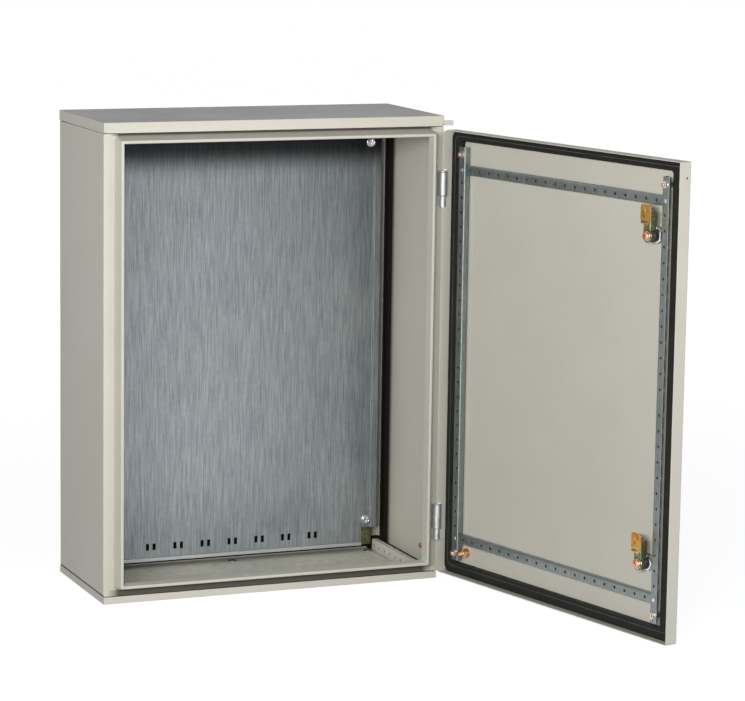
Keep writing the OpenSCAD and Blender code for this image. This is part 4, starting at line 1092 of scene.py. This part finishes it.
# %% Lock housings and their nuts
latch_places = [(LATCH_X, 0.0, z) for z in LATCH_Z.values()]
big_nut = solid_object("lock_nut", hexagon(24.0, SKIN + 1.5, SKIN + 8.5, 1.0), bright_zinc)
cut(big_nut, Solids().lathe((0, SKIN, 0), [(10.6, 0.0), (10.6, 12.0)], "y", 40))
fasteners("lock_nuts_formed", big_nut, latch_places, Y_AXIS, 1.0, 6, bright_zinc, "door", "lock_nuts")
ring_profile = [(10.7, 0.0), (13.3, 0.0), (13.5, 0.3), (13.5, 1.2), (13.2, 1.5), (10.7, 1.5)]
ring = Solids().lathe((0, SKIN, 0), ring_profile, "y", 40)
fasteners("lock_rings", ring, latch_places, Y_AXIS, 0.0, 1, olive_zinc, "door")
from_node("lock_housings", 0.6, 0.8)
print("locks ready")

# %% [markdown]
# What is left, such as spacers and hidden studs, keeps its exact solid and gets its finish.

# %% Remaining pieces
for node in ("plate_spacers", "hinge_studs"):
    NODES[node].data.shade_smooth()
    NODES[node].data.set_sharp_from_angle(angle=math.radians(35))
print("remaining pieces finished")

# %% [markdown]
# ## Studio
# A plain pale floor, and two soft lamps in front: a strong one on the left and a weak one on
# the right. The background is white only to the camera and in reflections and clear
# materials, so that it adds no light.

# %% Floor, backdrop and world
BASE_Z = -0.4003
REACH = 9


def seen_white(tree):
    """1 where the camera, a reflection or a clear material looks, and 0 for light."""
    path = add(tree, "ShaderNodeLightPath").outputs
    seen = maths(tree, "MAXIMUM", path["Is Camera Ray"], path["Is Glossy Ray"])
    return maths(tree, "MAXIMUM", seen, path["Is Transmission Ray"])


floor_mesh = bpy.data.meshes.new("studio floor")
floor_corners = [(x * REACH, y * REACH, BASE_Z) for x, y in ((-1, -1), (1, -1), (1, 1), (-1, 1))]
floor_mesh.from_pydata(floor_corners, [], [(0, 1, 2, 3)])
floor_material, tree, surface = start_material("studio floor", Roughness=0.9, Specular_IOR_Level=0.0)
join(tree, grey(0.30), surface.inputs["Base Color"])
reach = add(tree, "ShaderNodeVectorMath", object_place(tree), operation="LENGTH").outputs["Value"]
fade = spread(tree, reach, 0.5, 2.6, 0.90, 1.0)
glow = add(tree, "ShaderNodeEmission", Strength=times(tree, seen_white(tree), fade))
join(tree, add(tree, "ShaderNodeAddShader", surface, glow), tree.nodes["Material Output"].inputs[0])
floor = to_object("studio_floor", floor_mesh, floor_material)

world = bpy.data.worlds.new("studio")
bpy.context.scene.world = world
world.use_nodes = True
tree = world.node_tree
tree.nodes.clear()
soft = add(tree, "ShaderNodeBackground", Color=(0.95, 0.97, 1.0), Strength=0.07)
white = add(tree, "ShaderNodeBackground", Color=grey(1.0), Strength=1.0)
mixed = add(tree, "ShaderNodeMixShader", seen_white(tree), soft, white)
add(tree, "ShaderNodeOutputWorld", mixed)
print("studio ready")

# %% Lights


def soft_box(name, at, towards, width, height, watts, colour):
    lamp = bpy.data.lights.new(name, "AREA")
    lamp.shape = "RECTANGLE"
    lamp.size, lamp.size_y = width, height
    lamp.energy = watts
    lamp.color = colour
    made = bpy.data.objects.new(name, lamp)
    made.location = at
    made.rotation_euler = (Vector(towards) - Vector(at)).to_track_quat("-Z", "Y").to_euler()
    bpy.context.scene.collection.objects.link(made)


soft_box("key", (-2.0, -3.35, 0.80), (0.1, -0.2, 0.05), 1.7, 0.9, 121.0, (1.0, 0.985, 0.955))
soft_box("fill", (1.7, -3.7, 0.35), (0.2, -0.3, 0.0), 2.0, 1.4, 42.0, (1.0, 1.0, 1.0))

# %% [markdown]
# ## Camera
# A long lens stands about five metres away, a little left of the front and above the top, and
# looks slightly down. Its axes are written out from three angles.

# %% Camera
HEADING, DROP, ROLL_ANGLE = (math.radians(a) for a in (22.390, 9.315, 0.862))
CAMERA_AT = (-1.8037, -5.0546, 0.8564)
FOCAL_OVER_WIDTH = 3108.5 / 745
SENSOR = 36.0
forward = Vector((math.sin(HEADING) * math.cos(DROP), math.cos(HEADING) * math.cos(DROP), -math.sin(DROP)))
level_right = Vector((math.cos(HEADING), -math.sin(HEADING), 0.0))
level_up = level_right.cross(forward)
right = level_right * math.cos(ROLL_ANGLE) + level_up * math.sin(ROLL_ANGLE)
up = level_up * math.cos(ROLL_ANGLE) - level_right * math.sin(ROLL_ANGLE)
lens = bpy.data.cameras.new("studio camera")
lens.sensor_fit = "HORIZONTAL"
lens.sensor_width = SENSOR
lens.lens = SENSOR * FOCAL_OVER_WIDTH
lens.clip_start = 0.1
lens.clip_end = 60.0
camera = bpy.data.objects.new("studio camera", lens)
camera.matrix_world = Matrix.Translation(CAMERA_AT) @ Matrix((right, up, -forward)).transposed().to_4x4()
bpy.context.scene.collection.objects.link(camera)
bpy.context.scene.camera = camera
bpy.context.scene.view_settings.view_transform = "Standard"
print("camera lens", round(lens.lens, 1), "mm")
